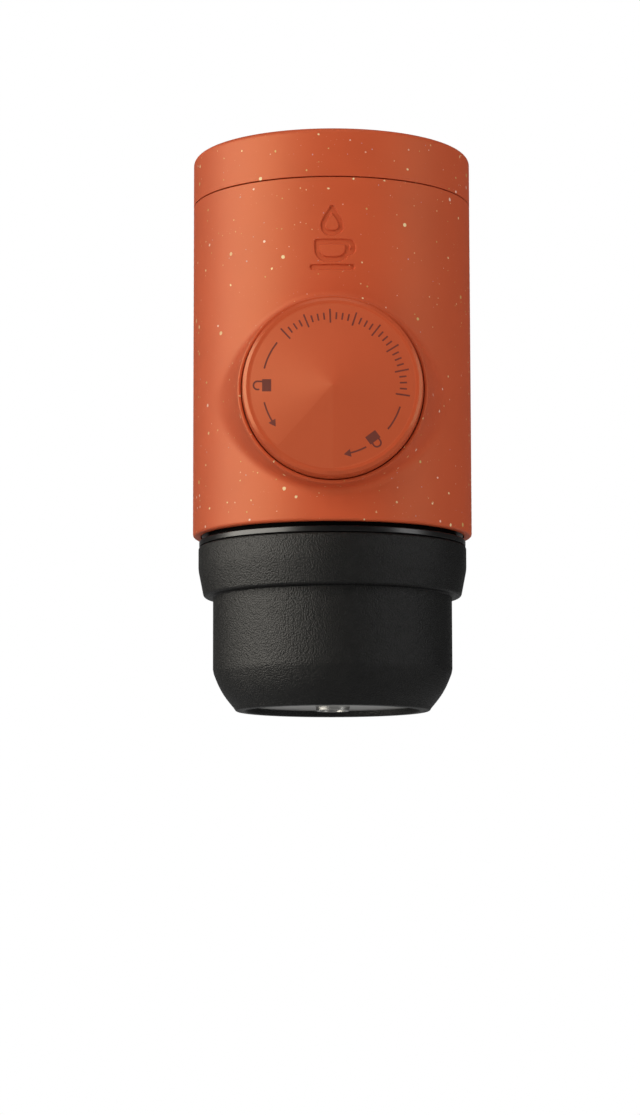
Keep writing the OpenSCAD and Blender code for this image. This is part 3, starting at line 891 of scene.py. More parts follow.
@dataclass
class Shell:
    """Terracotta sleeve with the knob's collar and the fairing that sweeps into it."""

    radius: float = high("outer_shell").x
    inner: float = high("outer_shell").x - 1.8 * MM
    bottom: float = low("outer_shell").z
    top: float = high("outer_shell").z
    edge: float = 0.6 * MM
    front: float = -low("outer_shell").y
    bore: float = 19.45 * MM
    collar: float = 20.2 * MM
    lip: float = 0.35 * MM
    bore_lip: float = 0.12 * MM
    fairing: float = 41.0 * MM
    dip: float = 0.3 * MM
    reach: float = 26.3 * MM
    soft: float = 1.7 * MM
    soft_root: float = 0.1
    mark_reach: float = 41.8 * MM
    mark_half_angle: float = 12.0
    fine_step: float = 0.2
    coarse_step: float = 1.4
    ledge_z: float = 95.85 * MM
    ledge: float = 0.5 * MM
    ledge_t: float = 1.1 * MM
    lip_end: float = 9.0
    ray: float = 25 * MM
    halvings: int = 40
    slack: float = 1e-6
    digits: int = 9
    bore_rows: int = 5
    mark_rows: int = 95
    plain_rows: int = 13
    wall_rows: int = 24
    mark: PressedMark = PressedMark()

    def columns(self) -> np.ndarray:
        """Angles about the knob's axis, closer together across the mark, with the back's corners.

        Returns:
            The sorted angles, the same on the left as on the right.
        """
        fine = np.arange(0, self.mark_half_angle, self.fine_step)
        count = int((180 - self.mark_half_angle) / self.coarse_step) + 1
        coarse = np.linspace(self.mark_half_angle, 180, count)
        half = np.radians(np.concatenate([fine, coarse]))
        rise = np.array([self.top - HAIR, self.bottom + self.edge]) - KNOB_Z
        corner = np.arctan2(math.pi * self.radius, rise)
        half = np.unique(np.round(np.concatenate([half, corner]), self.digits))
        angle = np.concatenate([math.pi / 2 - half, math.pi / 2 + half])
        return np.unique(np.round(angle % TURN, self.digits))

    def lip_rows(self, angle: np.ndarray) -> np.ndarray:
        """Bore from the inner wall out to the lip, and the lip's two roundings.

        Args:
            angle: the columns.

        Returns:
            Points as a (rows, columns, 3) array.
        """
        root = np.sqrt(self.inner**2 - (self.bore * np.cos(angle)) ** 2)
        share = np.linspace(0, 1, self.bore_rows + 1)[:-1, None]
        height = root + (self.front - self.bore_lip - root) * share
        bore = Axis.PUMP.place(np.full_like(height, self.bore), angle + 0 * height, height)
        inner = arc((self.bore + self.bore_lip, self.front - self.bore_lip), self.bore_lip, 180, 90, 4)
        outer = arc((self.collar - self.lip, self.front - self.lip), self.lip, 90, self.lip_end, 5)
        radius, height = np.concatenate([inner, outer]).T[..., None] + 0 * angle
        return np.concatenate([bore, Axis.PUMP.place(radius, angle + 0 * radius, height)])

    def fairing_rows(self, angle: np.ndarray, rows: int = 46) -> np.ndarray:
        """Collar and fairing: where rays from a point in front of them meet the blended form.

        The form is the smooth union min(d1, d2) - k / 4 * max(0, 1 - |d1 - d2| / k) ** 2, of
        d1 = hypot(x, f) - R for the body, and d2 = r - hypot(p - cx, f - cf) for the fairing's
        arc, with p the distance from the knob's axis and f that in front of the body's. The rays
        turn from straight inwards to straight back.

        Args:
            angle: the columns.
            rows: number of rays.

        Returns:
            Points as a (rows, columns, 3) array.
        """
        centre_x = self.collar + self.fairing
        centre_f = math.sqrt((self.radius + self.fairing - self.dip) ** 2 - centre_x**2)
        root = centre_f * (1 - self.fairing / (self.radius + self.fairing))
        start = np.array([self.reach, self.front - self.lip])
        aim = np.linspace(0, math.pi / 2, rows)[:, None] + 0 * angle
        along = np.stack([-np.cos(aim), -np.sin(aim)], axis=-1)
        near, far = np.zeros_like(aim), np.full_like(aim, self.ray)
        for _ in range(self.halvings):
            middle = (near + far) / 2
            radius, height = np.moveaxis(start + middle[..., None] * along, -1, 0)
            to_body = np.hypot(radius * np.cos(angle), height) - self.radius
            to_arc = self.fairing - np.hypot(radius - centre_x, height - centre_f)
            soft = self.soft * np.clip((height - root) / (self.radius - root), self.soft_root, 1)
            meet = np.clip(1 - np.abs(to_body - to_arc) / soft, 0, 1)
            free = np.minimum(to_body, to_arc) - soft / 4 * meet**2 > 0
            near, far = np.where(free, middle, near), np.where(free, far, middle)
        radius, height = np.moveaxis(start + far[..., None] * along, -1, 0)
        height[-1] = np.sqrt(self.radius**2 - (self.reach * np.cos(angle)) ** 2)
        return Axis.PUMP.place(radius, aim * 0 + angle, height)

    def border(self, angle: np.ndarray) -> tuple[np.ndarray, ...]:
        """Where each column leaves the unrolled sheet.

        Args:
            angle: the columns.

        Returns:
            Its place across and up, and whether it leaves at the top and at the bottom.
        """
        limit = np.where(np.sin(angle) > 0, self.top - HAIR, self.bottom + self.edge)
        rise = np.abs(limit - KNOB_Z) / np.maximum(np.abs(np.sin(angle)), TINY)
        run = math.pi * self.radius / np.maximum(np.abs(np.cos(angle)), TINY)
        over = rise <= run * (1 + self.slack)
        across = np.minimum(rise, run) * np.cos(angle)
        z = np.where(over, limit, KNOB_Z + run * np.sin(angle))
        return across, z, over & (np.sin(angle) > 0), over & (np.sin(angle) < 0)

    def sheet_rows(self, angle: np.ndarray) -> np.ndarray:
        """Outside of the sleeve, on lines of the unrolled sheet from the fairing to its border.

        A point u across and z up lies at x = r sin(u / R), y = -r cos(u / R), where r is R less
        the mark's depth.

        Args:
            angle: the columns.

        Returns:
            Points as a (rows, columns, 3) array.
        """
        across, z, _, _ = self.border(angle)
        marked = (self.mark_reach - self.reach) / (self.top - KNOB_Z - self.reach)
        to_mark = np.linspace(0, marked, self.mark_rows + 1)[1:]
        share = np.concatenate([to_mark, np.linspace(marked, 1, self.plain_rows + 1)[1:]])
        first = self.radius * np.arcsin(self.reach * np.cos(angle) / self.radius)
        first_z = KNOB_Z + self.reach * np.sin(angle)
        u = first + (across - first) * share[:, None]
        z = first_z + (z - first_z) * share[:, None]
        near = np.abs(angle - math.pi / 2) < math.radians(self.mark_half_angle)
        depth = np.zeros_like(u)
        depth[:, near] = self.mark.depth_at(u[:, near], z[:, near])
        turn = u / self.radius - math.pi / 2
        return Axis.BODY.place(self.radius - depth, turn, z)

    def rim_rows(self, angle: np.ndarray) -> np.ndarray:
        """Ends of the sleeve, from the outer rounding to the inner one.

        Args:
            angle: the columns.

        Returns:
            Points as a (rows, columns, 3) array.
        """
        across, z, on_top, on_bottom = self.border(angle)
        seat = self.inner + CRISP
        outer = arc((self.radius - HAIR, self.top - HAIR), HAIR, 0, 90)
        top = np.concatenate([outer[1:], [[seat, self.top], [self.inner, self.top - CRISP]]])
        outer = arc((self.radius - self.edge, self.bottom + self.edge), self.edge, 0, -90)
        low_end = [[seat, self.bottom], [self.inner, self.bottom + CRISP]]
        bottom = np.concatenate([outer[1:], low_end])
        blank = np.linspace(self.radius, self.inner, len(top))[:, None]
        radius = np.where(on_top, top[:, :1], np.where(on_bottom, bottom[:, :1], blank))
        z = np.where(on_top, top[:, 1:], np.where(on_bottom, bottom[:, 1:], z))
        return Axis.BODY.place(radius, across / self.radius - math.pi / 2 + 0 * radius, z)

    def inner_rows(self, angle: np.ndarray, last: np.ndarray) -> np.ndarray:
        """Inner wall from the rim back to the bore.

        Args:
            angle: the columns.
            last: the rim's last row.

        Returns:
            Points as a (rows, columns, 3) array.
        """
        across, _, _, _ = self.border(angle)
        turn, z = across / self.radius, last[:, 2]
        bore_turn = np.arcsin(self.bore * np.cos(angle) / self.inner)
        bore_z = KNOB_Z + self.bore * np.sin(angle)
        share = np.linspace(0, 1, self.wall_rows + 2)[1:-1, None]
        turn, z = turn + (bore_turn - turn) * share, z + (bore_z - z) * share
        return Axis.BODY.place(np.full_like(z, self.inner), turn - math.pi / 2, z)

    def skin(self) -> Patch:
        """One closed grid, from the bore's root outwards and back along the inner wall."""
        angle = self.columns()
        rows = [self.lip_rows(angle), self.fairing_rows(angle), self.sheet_rows(angle)]
        rim = self.rim_rows(angle)
        rim_start = sum(map(len, rows)) - 1
        rows += [rim, self.inner_rows(angle, rim[-1])]
        points = np.concatenate(rows)
        faces = grid_faces(*points.shape[:2], closed=True)
        _, _, on_top, on_bottom = self.border(angle)
        ends = (on_top & np.roll(on_top, -1)) | (on_bottom & np.roll(on_bottom, -1))
        kept = np.ones(faces.shape[:2], dtype=bool)
        kept[rim_start : rim_start + len(rim)] = ends
        return Patch(points.reshape(-1, 3), faces[kept])

    def build(self) -> None:
        """Builds the sleeve and the ledge inside it."""
        build("shell", self.skin(), Stuff.SHELL, "main_body", "outer_shell")
        tip, root = self.inner - self.ledge, self.inner + FINE
        top = self.ledge_z + self.ledge_t
        ledge = outline((tip, self.ledge_z), (root, self.ledge_z), (root, top + self.ledge), (tip, top))
        build("shell_ledge", turned(ledge), Stuff.SHELL, "main_body")


@dataclass
class Tank:
    """Water tank, which screws into the body, with its terracotta end cap."""

    radius: float = high("tank_cap").x
    bottom: float = low("tank_cap").z
    top: float = high("tank_cap").z
    top_edge: float = 1.3 * MM
    plate: float = 2.4 * MM
    cap_gap: float = 0.05 * MM
    vessel_r: float = high("water_tank").x
    vessel_low: float = low("water_tank").z
    wall: float = 1.5 * MM
    end_round: float = 2 * MM
    neck_r: float = 26.5 * MM
    neck_in_r: float = 24.9 * MM
    step_z: float = 96.05 * MM
    step_edge: float = 0.6 * MM
    slope_low: float = 0.8 * MM
    slope_high: float = 2.6 * MM
    thread_h: float = 0.28 * MM
    thread_z: float = 1.2 * MM
    turns: float = 1.6

    def cap(self) -> np.ndarray:
        """Outline of the cap: a cup over the vessel's end."""
        bore, ceiling = self.vessel_r + self.cap_gap, self.top - self.plate
        return outline(
            (0, ceiling), (bore, ceiling), (bore, self.bottom),
            (self.radius, self.bottom, HAIR), (self.radius, self.top, self.top_edge),
            (0, self.top), steps=10,
        )

    def vessel(self) -> np.ndarray:
        """Outline of the vessel: its mouth is down, and its neck is narrower than its body."""
        end = self.top - self.plate
        inner = self.vessel_r - self.wall
        return outline(
            (self.neck_in_r, self.vessel_low, EDGE), (self.neck_r, self.vessel_low, EDGE),
            (self.neck_r, self.step_z, FINE), (self.vessel_r, self.step_z, self.step_edge),
            (self.vessel_r, end), (0, end), (0, end - self.wall),
            (inner, end - self.wall, self.end_round),
            (inner, self.step_z + self.slope_high, BROAD),
            (self.neck_in_r, self.step_z + self.slope_low, BROAD),
        )

    def build(self) -> None:
        """Builds the cap, the vessel and its thread."""
        build("tank_end", turned(self.cap()), Stuff.SHELL, "tank", "tank_cap")
        build("tank_vessel", turned(self.vessel()), Stuff.SMOKE, "tank", "water_tank")
        ridge = Thread(self.neck_r, self.thread_h, self.vessel_low + self.thread_z, self.turns)
        build("tank_thread", ridge.skin(), Stuff.SMOKE, "tank")


# ---------------- knob


@dataclass(frozen=True)
class Padlock:
    """Padlock pictogram whose top points outwards; its shackle is lifted when it is open."""

    opened: bool
    body_length: float = 1.9 * MM
    body_width: float = 2.6 * MM
    line: float = 0.36 * MM
    bow_r: float = 0.82 * MM
    bow_up: float = 0.5 * MM
    lift: float = 0.5 * MM
    foot: float = -0.1 * MM
    free_end: float = 0.6 * MM

    def paths(self) -> list[tuple[np.ndarray, float]]:
        """Its body and its shackle.

        Returns:
            For each, points along the ring and outwards, and its width.
        """
        body = np.array([[0, -self.body_length], [0, 0]])
        bow = arc((0, self.bow_up + self.lift * self.opened), self.bow_r, 0, 180, 12)
        end = self.free_end if self.opened else self.foot
        legs = np.concatenate([[[bow[0, 0], self.foot]], bow, [[bow[-1, 0], end]]])
        return [(body, self.body_width), (legs, self.line)]


@dataclass(frozen=True)
class Stop:
    """Marks of one end of the knob's turn: a line, a padlock about its middle, and an arrow.

    Angles are in degrees about the knob's axis.
    """

    line: tuple[float, float]
    padlock: Padlock
    middle: float
    arrow: tuple[float, float]


@dataclass
class Knob:
    """Terracotta cap of the pump knob, with the marks printed on its face."""

    radius: float = high("knob_cap").x
    tip: float = -low("knob_cap").y
    skirt: float = -high("knob_cap").y
    cone: float = 1.0 * MM
    face_r: float = 18.15 * MM
    bevel_r: float = 18.95 * MM
    bevel: float = 0.6 * MM
    rounding: float = 0.25 * MM
    plate: float = 2.5 * MM
    bore: float = 15.55 * MM
    side_z: float = 2.5 * MM
    face_rows: int = 23
    columns: int = 360
    ring_r: float = 14.85 * MM
    line: float = 0.34 * MM
    print_t: float = 0.02 * MM
    sunk: int = 2
    ticks: tuple[int, int, int] = (-8, 133, 5)
    short_tick: float = 0.75 * MM
    long_tick: float = 1.5 * MM
    long_every: int = 20
    long_from: int = 12
    head_angle: float = 5.5
    head_widths: tuple[float, ...] = (1.7 * MM, 0.9 * MM, 0.06 * MM)
    stops: tuple[Stop, ...] = (
        Stop((142, 166), Padlock(opened=True), 180, (194, 216)),
        Stop((-39, -18), Padlock(opened=False), -53, (-62, -81)),
    )

    def face(self, radius: np.ndarray, angle: np.ndarray) -> np.ndarray:
        """Height of the face: the lower of a cone and a plane through its tip.

        The cone is tip - c r / R. The plane is tip - c r cos(a - m) / (R cos(w / 2)), which
        meets the cone at the facet's two edges.

        Args:
            radius: distances from the knob's axis.
            angle: angles about it.

        Returns:
            Distances in front of the body's axis.
        """
        slope = self.cone / CONE_R
        lean = slope * np.cos(angle - FACET_MIDDLE) / math.cos(FACET / 2)
        return self.tip - radius * np.maximum(slope, lean)

    def skin(self) -> Patch:
        """Cap as one closed surface, whose face is cut to the cone and its facet."""
        flat = self.tip - self.cone
        ceiling = flat - self.plate
        rim = outline(
            (0, ceiling), (self.bore, ceiling), (self.bore, self.skirt, CRISP),
            (self.radius, self.skirt, FINE), (self.radius, self.skirt + self.side_z, EDGE),
            (self.bevel_r, flat - self.bevel, self.rounding), (self.face_r, flat, self.rounding),
            (CONE_R, flat), steps=8,
        )
        inward = np.linspace(CONE_R, 0, self.face_rows + 1)[1:]
        cone = np.stack([inward, self.tip - self.cone * inward / CONE_R], axis=-1)
        return turned(np.concatenate([rim, cone]), Axis.PUMP, self.columns, self.face)

    def printed(self, path: np.ndarray, width: float | np.ndarray) -> Patch:
        """Printed line: a thin strip along a path on the face.

        Args:
            path: radius and angle of its points, as an (n, 2) array.
            width: its width, or one for each point as an (n, 1) array.

        Returns:
            The closed strip, which stands a print's thickness above the face.
        """
        flat = path[:, :1] * np.stack([np.cos(path[:, 1]), np.sin(path[:, 1])], axis=-1)
        along = np.gradient(flat, axis=0)
        side = np.stack([-along[:, 1], along[:, 0]], axis=-1)
        side *= width / 2 / np.linalg.norm(side, axis=-1, keepdims=True)
        corners = np.stack([flat - side, flat + side, flat + side, flat - side], axis=1)
        radius, angle = np.linalg.norm(corners, axis=-1), np.arctan2(corners[..., 1], corners[..., 0])
        lift = np.array([-self.sunk, -self.sunk, 1, 1]) * self.print_t
        return sweep(Axis.PUMP.place(radius, angle, self.face(radius, angle) + lift))

    def curve(self, start: float, end: float) -> np.ndarray:
        """Path along the ring of marks, between two angles in degrees, a point to a degree."""
        count = max(3, int(abs(end - start)))
        angle = np.radians(np.linspace(start, end, count))
        return np.stack([np.full(count, self.ring_r), angle], axis=-1)

    def local(self, middle: float, points: np.ndarray) -> np.ndarray:
        """Radius and angle of points along and outwards from an angle on the ring, in degrees."""
        radius = self.ring_r + points[:, 1]
        return np.stack([radius, math.radians(middle) - points[:, 0] / self.ring_r], axis=-1)

    def arrow(self, start: float, end: float) -> list[Patch]:
        """Arrow along the ring, between two angles in degrees.

        Args:
            start: where its shaft starts.
            end: where its head ends.

        Returns:
            Its shaft and its head.
        """
        neck = end - math.copysign(self.head_angle, end - start)
        head = self.printed(self.curve(neck, end)[[0, 2, -1]], np.array(self.head_widths)[:, None])
        return [self.printed(self.curve(start, neck), self.line), head]

    def marks(self) -> Patch:
        """All printed marks: a scale, two stop lines, and a padlock and an arrow for each stop."""
        ticks = np.arange(*self.ticks)
        reach = np.where(ticks % self.long_every == self.long_from, self.long_tick, self.short_tick)
        lines = [
            np.array([[self.ring_r - size, angle], [self.ring_r + size, angle]])
            for size, angle in zip(reach, np.radians(ticks))
        ]
        lines += [self.curve(*stop.line) for stop in self.stops]
        strips = [self.printed(line, self.line) for line in lines]
        for stop in self.stops:
            for path, width in stop.padlock.paths():
                strips.append(self.printed(self.local(stop.middle, path), width))
            strips += self.arrow(*stop.arrow)
        return join(strips)

    def build(self) -> None:
        """Builds the cap and its marks."""
        build("knob_face", self.skin(), Stuff.KNOB, "knob", "knob_cap")
        build("knob_marks", self.marks(), Stuff.INK, "knob")


# ---------------- brewing head


@dataclass
class BrewingHead:
    """Black brewing head, whose glossy ring shows under the shell."""

    ring_r: float = high("brew_head").x
    ring_low: float = high("portafilter").z + 0.12 * MM
    ring_high: float = low("outer_shell").z - 0.9 * MM
    groove_high: float = low("outer_shell").z + 0.2 * MM
    groove_r: float = 27.4 * MM
    shade_r: float = 27.6 * MM
    shade_t: float = 0.6 * MM
    shade_down: float = 0.3 * MM
    shade_up: float = 0.2 * MM
    core_r: float = 29.0 * MM
    top: float = high("brew_head").z
    spigot_r: float = 26.4 * MM
    spigot_in_r: float = 24 * MM
    spigot_low: float = low("brew_head").z
    spigot_edge: float = 0.4 * MM
    plate_low: float = 28.9 * MM
    plate_high: float = 31.9 * MM
    seat_r: float = 25.55 * MM
    seat_z: float = 28.0 * MM
    screen_r: float = 21.8 * MM
    screen_z: float = 27.8 * MM
    chamber_r: float = 20.4 * MM
    boss_r: float = 3.6 * MM
    boss_root: float = 0.4 * MM
    thread_h: float = 0.22 * MM
    thread_z: float = 1.6 * MM
    turns: float = 2.2

    def head(self) -> np.ndarray:
        """Outline of the head: its core, the ring under the shell, and the threaded spigot."""
        return outline(
            (0, self.plate_high), (self.spigot_in_r, self.plate_high, BROAD),
            (self.spigot_in_r, self.top), (self.core_r, self.top), (self.core_r, self.groove_high),
            (self.groove_r, self.groove_high), (self.groove_r, self.ring_high),
            (self.ring_r, self.ring_high, EDGE), (self.ring_r, self.ring_low, CRISP),
            (self.spigot_r, self.ring_low, EDGE), (self.spigot_r, self.spigot_low, self.spigot_edge),
            (self.seat_r, self.spigot_low), (self.seat_r, self.seat_z), (self.screen_r, self.seat_z),
            (self.screen_r, self.screen_z), (self.chamber_r, self.screen_z, FINE),
            (self.chamber_r, self.plate_low, SOFT), (self.boss_r, self.plate_low, self.boss_root),
            (self.boss_r, self.screen_z, FINE), (0, self.screen_z),
        )

    def shade(self) -> np.ndarray:
        """Outline of the dark sleeve in the groove above the ring: painted shade that blackens the gap
        under the shell.
        """
        inner = self.shade_r - self.shade_t
        bottom, top = self.ring_high - self.shade_down, self.groove_high + self.shade_up
        return outline((inner, bottom), (self.shade_r, bottom), (self.shade_r, top), (inner, top))

    def build(self) -> None:
        """Builds the head, the painted-shade sleeve in its groove, and its thread."""
        build("head_ring", turned(self.head()), Stuff.RING, "main_body", "brew_head")
        build("painted_groove_shade", turned(self.shade()), Stuff.PAINTED_SHADE, "main_body")
        ridge = Thread(self.spigot_r, self.thread_h, self.spigot_low + self.thread_z, self.turns)
        build("head_thread", ridge.skin(), Stuff.RING, "main_body")


@dataclass
class Portafilter:
    """Black cup that screws onto the head, with its steel outlet plate."""

    height: float = high("portafilter").z
    collar_r: float = high("portafilter").x
    cup_r: float = 26.5 * MM
    step_z: float = 25.2 * MM
    step_root: float = 0.35 * MM
    rim_r: float = 21.8 * MM
    rim_in: float = 0.7 * MM
    rim_round: float = 0.6 * MM
    chin: tuple[float, float] = (21.9 * MM, 0.75 * MM)
    cheek: tuple[float, float] = (26.3 * MM, 8.2 * MM)
    cheek_z: float = 9.2 * MM
    swell: float = 0.41 * MM
    swell_down: float = 0.55
    collar_taper: float = 1.05 * MM
    collar_low: float = 0.8 * MM
    flare_r: float = 9.0 * MM
    flare_z: float = 6.9 * MM
    collar_round: float = 0.6 * MM
    mouth: float = 0.4 * MM
    ledge_z: float = 25.4 * MM
    bore_r: float = 23.2 * MM
    floor: tuple[tuple[float, float], ...] = (
        (21.9 * MM, 6.4 * MM), (21.4 * MM, 5.2 * MM), (19.1 * MM, 5.2 * MM),
        (19.1 * MM, 0.5 * MM), (19.4 * MM, 0),
    )
    thread_r: float = 26.9 * MM
    thread_h: float = -0.22 * MM
    thread_z: float = 29.2 * MM
    turns: float = 2.2
    plate_r: float = 18.9 * MM
    plate_z: float = 1.2 * MM
    plate_t: float = 0.6 * MM
    plate_seat: float = 5.8 * MM
    seat_round: float = 0.4 * MM
    flange_r: float = 21.2 * MM
    dish_z: float = 2.8 * MM
    nozzle_r: float = 2.9 * MM
    nozzle_wall: float = 0.7 * MM
    nozzle_foot: float = 0.9 * MM
    funnel: float = 0.5 * MM
    funnel_z: float = 2.2 * MM
    throat_z: float = 2.0 * MM

    def outside(self) -> np.ndarray:
        """Outside from the rim up: the bevel is chin + t (cheek - chin) + s sin(pi t) (1, -d).

        Returns:
            Points as an (n, 2) array.
        """
        chin, cheek = np.array([self.chin, self.cheek])
        share = np.linspace(0, 1, 17)[:, None]
        bulge = self.swell * np.sin(math.pi * share) * [1, -self.swell_down]
        root, low_end, top = self.step_root, self.collar_low, self.collar_round
        return np.concatenate([
            arc((self.rim_r - self.rim_in, self.rim_round), self.rim_round, -90, -40),
            chin + share * (cheek - chin) + bulge,
            [[self.cup_r, self.cheek_z], [self.cup_r, self.step_z - root]],
            arc((self.cup_r + root, self.step_z - root), root, 180, 90, 5),
            arc((self.collar_r - self.collar_taper - low_end, self.step_z + low_end), low_end, -90, -10),
            arc((self.collar_r - self.flare_r, self.step_z + self.flare_z), self.flare_r, -9, 0, 6),
            arc((self.collar_r - top, self.height - top), top, 0, 90),
        ])

    def inside(self) -> np.ndarray:
        """Inside from the mouth down to the rim, as an (n, 2) array."""
        wall = [(self.thread_r + self.mouth, self.height), (self.thread_r, self.height - self.mouth)]
        ledge = [(self.thread_r, self.ledge_z), (self.bore_r, self.ledge_z)]
        return np.array([*wall, *ledge, (self.bore_r, self.cheek_z), *self.floor])

    def plate(self) -> np.ndarray:
        """Outline of the outlet plate, with the nozzle in its middle."""
        inner, flange = self.plate_r - self.plate_t, self.plate_seat + self.plate_t
        return outline(
            (self.nozzle_r, 0, HAIR), (self.nozzle_r + self.nozzle_wall, 0, FINE),
            (self.nozzle_r + self.nozzle_foot, self.plate_z, SOFT),
            (self.plate_r, self.plate_z, SOFT), (self.plate_r, self.plate_seat, EDGE),
            (self.flange_r, self.plate_seat), (self.flange_r, flange, FINE),
            (inner, flange, self.seat_round), (inner, self.dish_z, BROAD),
            (self.nozzle_r + self.funnel, self.funnel_z, FINE), (self.nozzle_r, self.throat_z, HAIR),
        )

    def build(self) -> None:
        """Builds the cup, its thread and the outlet plate."""
        cup = turned(np.concatenate([self.outside(), self.inside()]))
        build("brewing_cup", cup, Stuff.BLACK, "brewing_cup", "portafilter")
        ridge = Thread(self.thread_r, self.thread_h, self.thread_z, self.turns)
        build("cup_thread", ridge.skin(), Stuff.BLACK, "brewing_cup")
        build("outlet", turned(self.plate()), Stuff.STEEL, "brewing_cup", "outlet_plate")


# ---------------- inner pieces


@dataclass
class InnerPieces:
    """CAD pieces whose own shape is right, and the finish that each one takes."""

    finishes: tuple[tuple[Stuff, tuple[str, ...]], ...] = (
        (Stuff.GRAPHITE, ("tank_socket", "pump_housing")),
        (Stuff.RING, ("guide_bush", "piston_sleeve")),
        (Stuff.NATURAL, ("barrel_plug", "rod_guide", "piston_rod", "inlet_seat", "outlet_seat")),
        (Stuff.NATURAL, ("spring_retainer",)),
        (Stuff.TUBE, ("pump_barrel",)),
        (Stuff.PIERCED, ("inlet_strainer", "shower_screen", "filter_basket")),
        (Stuff.SCREW, ("socket_screws", "head_screws", "knob_screw", "screen_screw")),
        (Stuff.SCREW, ("inlet_ball", "outlet_ball")),
        (Stuff.WIRE, ("return_spring", "inlet_spring", "outlet_spring")),
        (Stuff.RUBBER, ("tank_seal", "socket_seal", "plug_seal", "piston_seal", "head_seal")),
        (Stuff.RUBBER, ("brew_gasket", "plate_seal")),
    )

    def build(self) -> None:
        """Gives each piece its material."""
        for stuff, names in self.finishes:
            for name in names:
                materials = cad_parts[name].data.materials
                materials.clear()
                materials.append(stuff.material())
                LOG.info("%s: finish %s", name, stuff.finish.name)


# ---------------- studio


@dataclass
class Lamp:
    """A softbox that faces a point on the object."""

    name: str
    azimuth: float
    height: float
    distance: float
    width: float
    tall: float
    power: float
    colour: tuple[float, float, float] = (1.0, 1.0, 1.0)
    on_matte: bool = True
    on_gloss: bool = True

    def build(self) -> None:
        """Places the softbox at its azimuth, measured from -Y towards +X, aimed at the object."""
        data = bpy.data.lights.new(self.name, "AREA")
        data.shape = "RECTANGLE"
        data.size, data.size_y, data.energy = self.width, self.tall, self.power
        data.color = self.colour
        lamp = added(self.name, data)
        turn = math.radians(self.azimuth)
        lamp.location = (self.distance * math.sin(turn), -self.distance * math.cos(turn), self.height)
        aim = Studio.target - lamp.location
        lamp.rotation_euler = aim.to_track_quat("-Z", "Y").to_euler()
        lamp.visible_diffuse, lamp.visible_glossy = self.on_matte, self.on_gloss


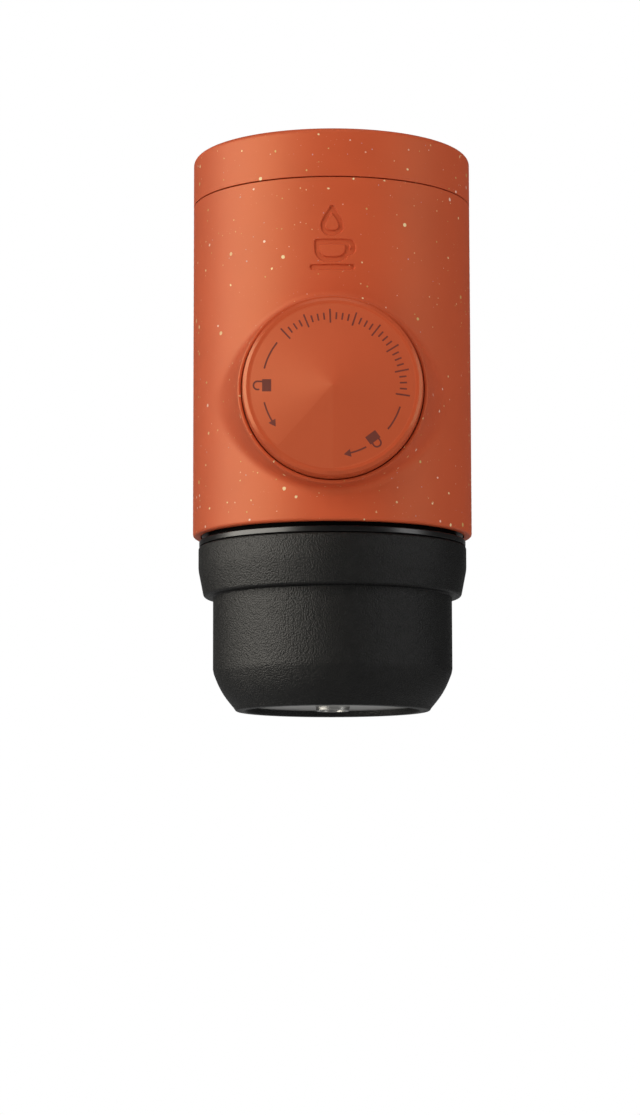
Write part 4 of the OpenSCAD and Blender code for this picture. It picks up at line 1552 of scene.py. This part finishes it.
class Studio:
    """Camera, softboxes, white surroundings and a pale floor."""

    target = Vector((0, 0, 62 * MM))
    camera_at = Vector((-2.9 * MM, -658 * MM, -43.2 * MM))
    tilt = math.radians(6.71)
    roll = math.radians(0.11)
    focal_pixels = 2980.0
    frame_pixels = 1115.0
    sensor = 36.0
    clip = 10 * MM
    floor_z = -120 * MM
    floor_r = 3.0
    floor_rings = 40
    floor_columns = 96
    floor_tint = rgb(236, 235, 233)
    far_edges = (0.12, 0.4)
    pale = 0.6
    fill = 0.21
    dim = 0.06
    white = 0.3
    ground = 0.3
    ground_edges = (1.0, 1.6)
    card = (math.cos(math.radians(26)), math.cos(math.radians(14)))
    pure = (1.0, 1.0, 1.0, 1.0)
    warm = (1.0, 0.95, 0.86)
    lamps = (
        Lamp("key_softbox", -45, 0.26, 0.75, 0.3, 0.5, 3.2, on_gloss=False),
        Lamp("left_sheen", -69, 0.2, 0.75, 0.9, 0.8, 15.5, warm, on_matte=False),
        Lamp("right_softbox", 67, 0.16, 0.8, 0.3, 0.7, 2.3),
        Lamp("top_softbox", 0, 0.85, 0.3, 0.5, 0.5, 1.2),
    )

    def camera(self) -> None:
        """Adds the camera, where the photograph was taken from."""
        data = bpy.data.cameras.new("camera")
        data.sensor_width = self.sensor
        data.lens = self.focal_pixels * self.sensor / self.frame_pixels
        data.clip_start = self.clip
        camera = added("camera", data)
        camera.location = self.camera_at
        camera.rotation_euler = (math.pi / 2 + self.tilt, self.roll, 0)
        bpy.context.scene.camera = camera

    def world(self) -> None:
        """White surroundings for the camera and glass, a white card behind for gloss, and fill."""
        world = bpy.data.worlds.new("surroundings")
        bpy.context.scene.world = world
        net = Net(world)
        path = net.node("ShaderNodeLightPath")
        _, y, z = net.parts(net.node("ShaderNodeTexCoord").outputs["Generated"])
        behind, under = y.step(*self.card), (1.0 - z).step(*self.ground_edges)
        gloss = net.value(path, "Is Glossy Ray")
        seen = net.value(path, "Is Camera Ray").most(net.value(path, "Is Transmission Ray"))
        glossy = self.dim + behind * (self.white - self.dim) + under * self.ground
        level = self.fill + gloss * (glossy - self.fill)
        level = level * (1 - seen) + seen
        light = net.node("ShaderNodeBackground", None, {0: self.pure, 1: level})
        net.node("ShaderNodeOutputWorld", None, {"Surface": light.outputs[0]})

    def floor(self) -> None:
        """Adds a pale round floor, seen from above only, that turns pure white far out."""
        share = np.linspace(0, 1, self.floor_rings) ** 2
        angle = np.arange(self.floor_columns) * TURN / self.floor_columns
        radius, turn = np.meshgrid(share * self.floor_r, angle, indexing="ij")
        points = Axis.BODY.place(radius, turn, np.full_like(radius, self.floor_z))
        faces = grid_faces(*points.shape[:2])[:, :, ::-1]
        mesh = bpy.data.meshes.new("floor")
        mesh.from_pydata(points.reshape(-1, 3), [], faces.reshape(-1, 4).tolist())
        net = Net(bpy.data.materials.new("pale_floor"))
        x, y, _ = net.parts(net.place())
        far = length(x, y).step(*self.far_edges)
        path = net.node("ShaderNodeLightPath")
        paint = net.node("ShaderNodeBsdfDiffuse", None, {"Color": self.floor_tint})
        white = net.node("ShaderNodeEmission", None, {"Color": self.pure})
        shown = net.value(path, "Is Camera Ray") * (far * (1 - self.pale) + self.pale)
        sockets = {0: shown, 1: paint.outputs[0], 2: white.outputs[0]}
        lit = net.node("ShaderNodeMixShader", None, sockets).outputs[0]
        clear = net.node("ShaderNodeBsdfTransparent").outputs[0]
        below = net.value(net.node("ShaderNodeNewGeometry"), "Backfacing")
        side = net.node("ShaderNodeMixShader", None, {0: below, 1: lit, 2: clear})
        net.node("ShaderNodeOutputMaterial", None, {"Surface": side.outputs[0]})
        mesh.materials.append(net.owner)
        floor = added("floor", mesh)
        floor.visible_glossy = False

    def build(self) -> None:
        """Builds the studio."""
        bpy.context.scene.view_settings.view_transform = "Standard"
        self.camera()
        self.world()
        self.floor()
        for lamp in self.lamps:
            lamp.build()


def main() -> None:
    """Builds the espresso maker and its studio."""
    for part in (Shell(), Tank(), Knob(), BrewingHead(), Portafilter(), InnerPieces(), Studio()):
        LOG.info("== %s", type(part).__name__)
        part.build()


if __name__ == "__main__":
    main()
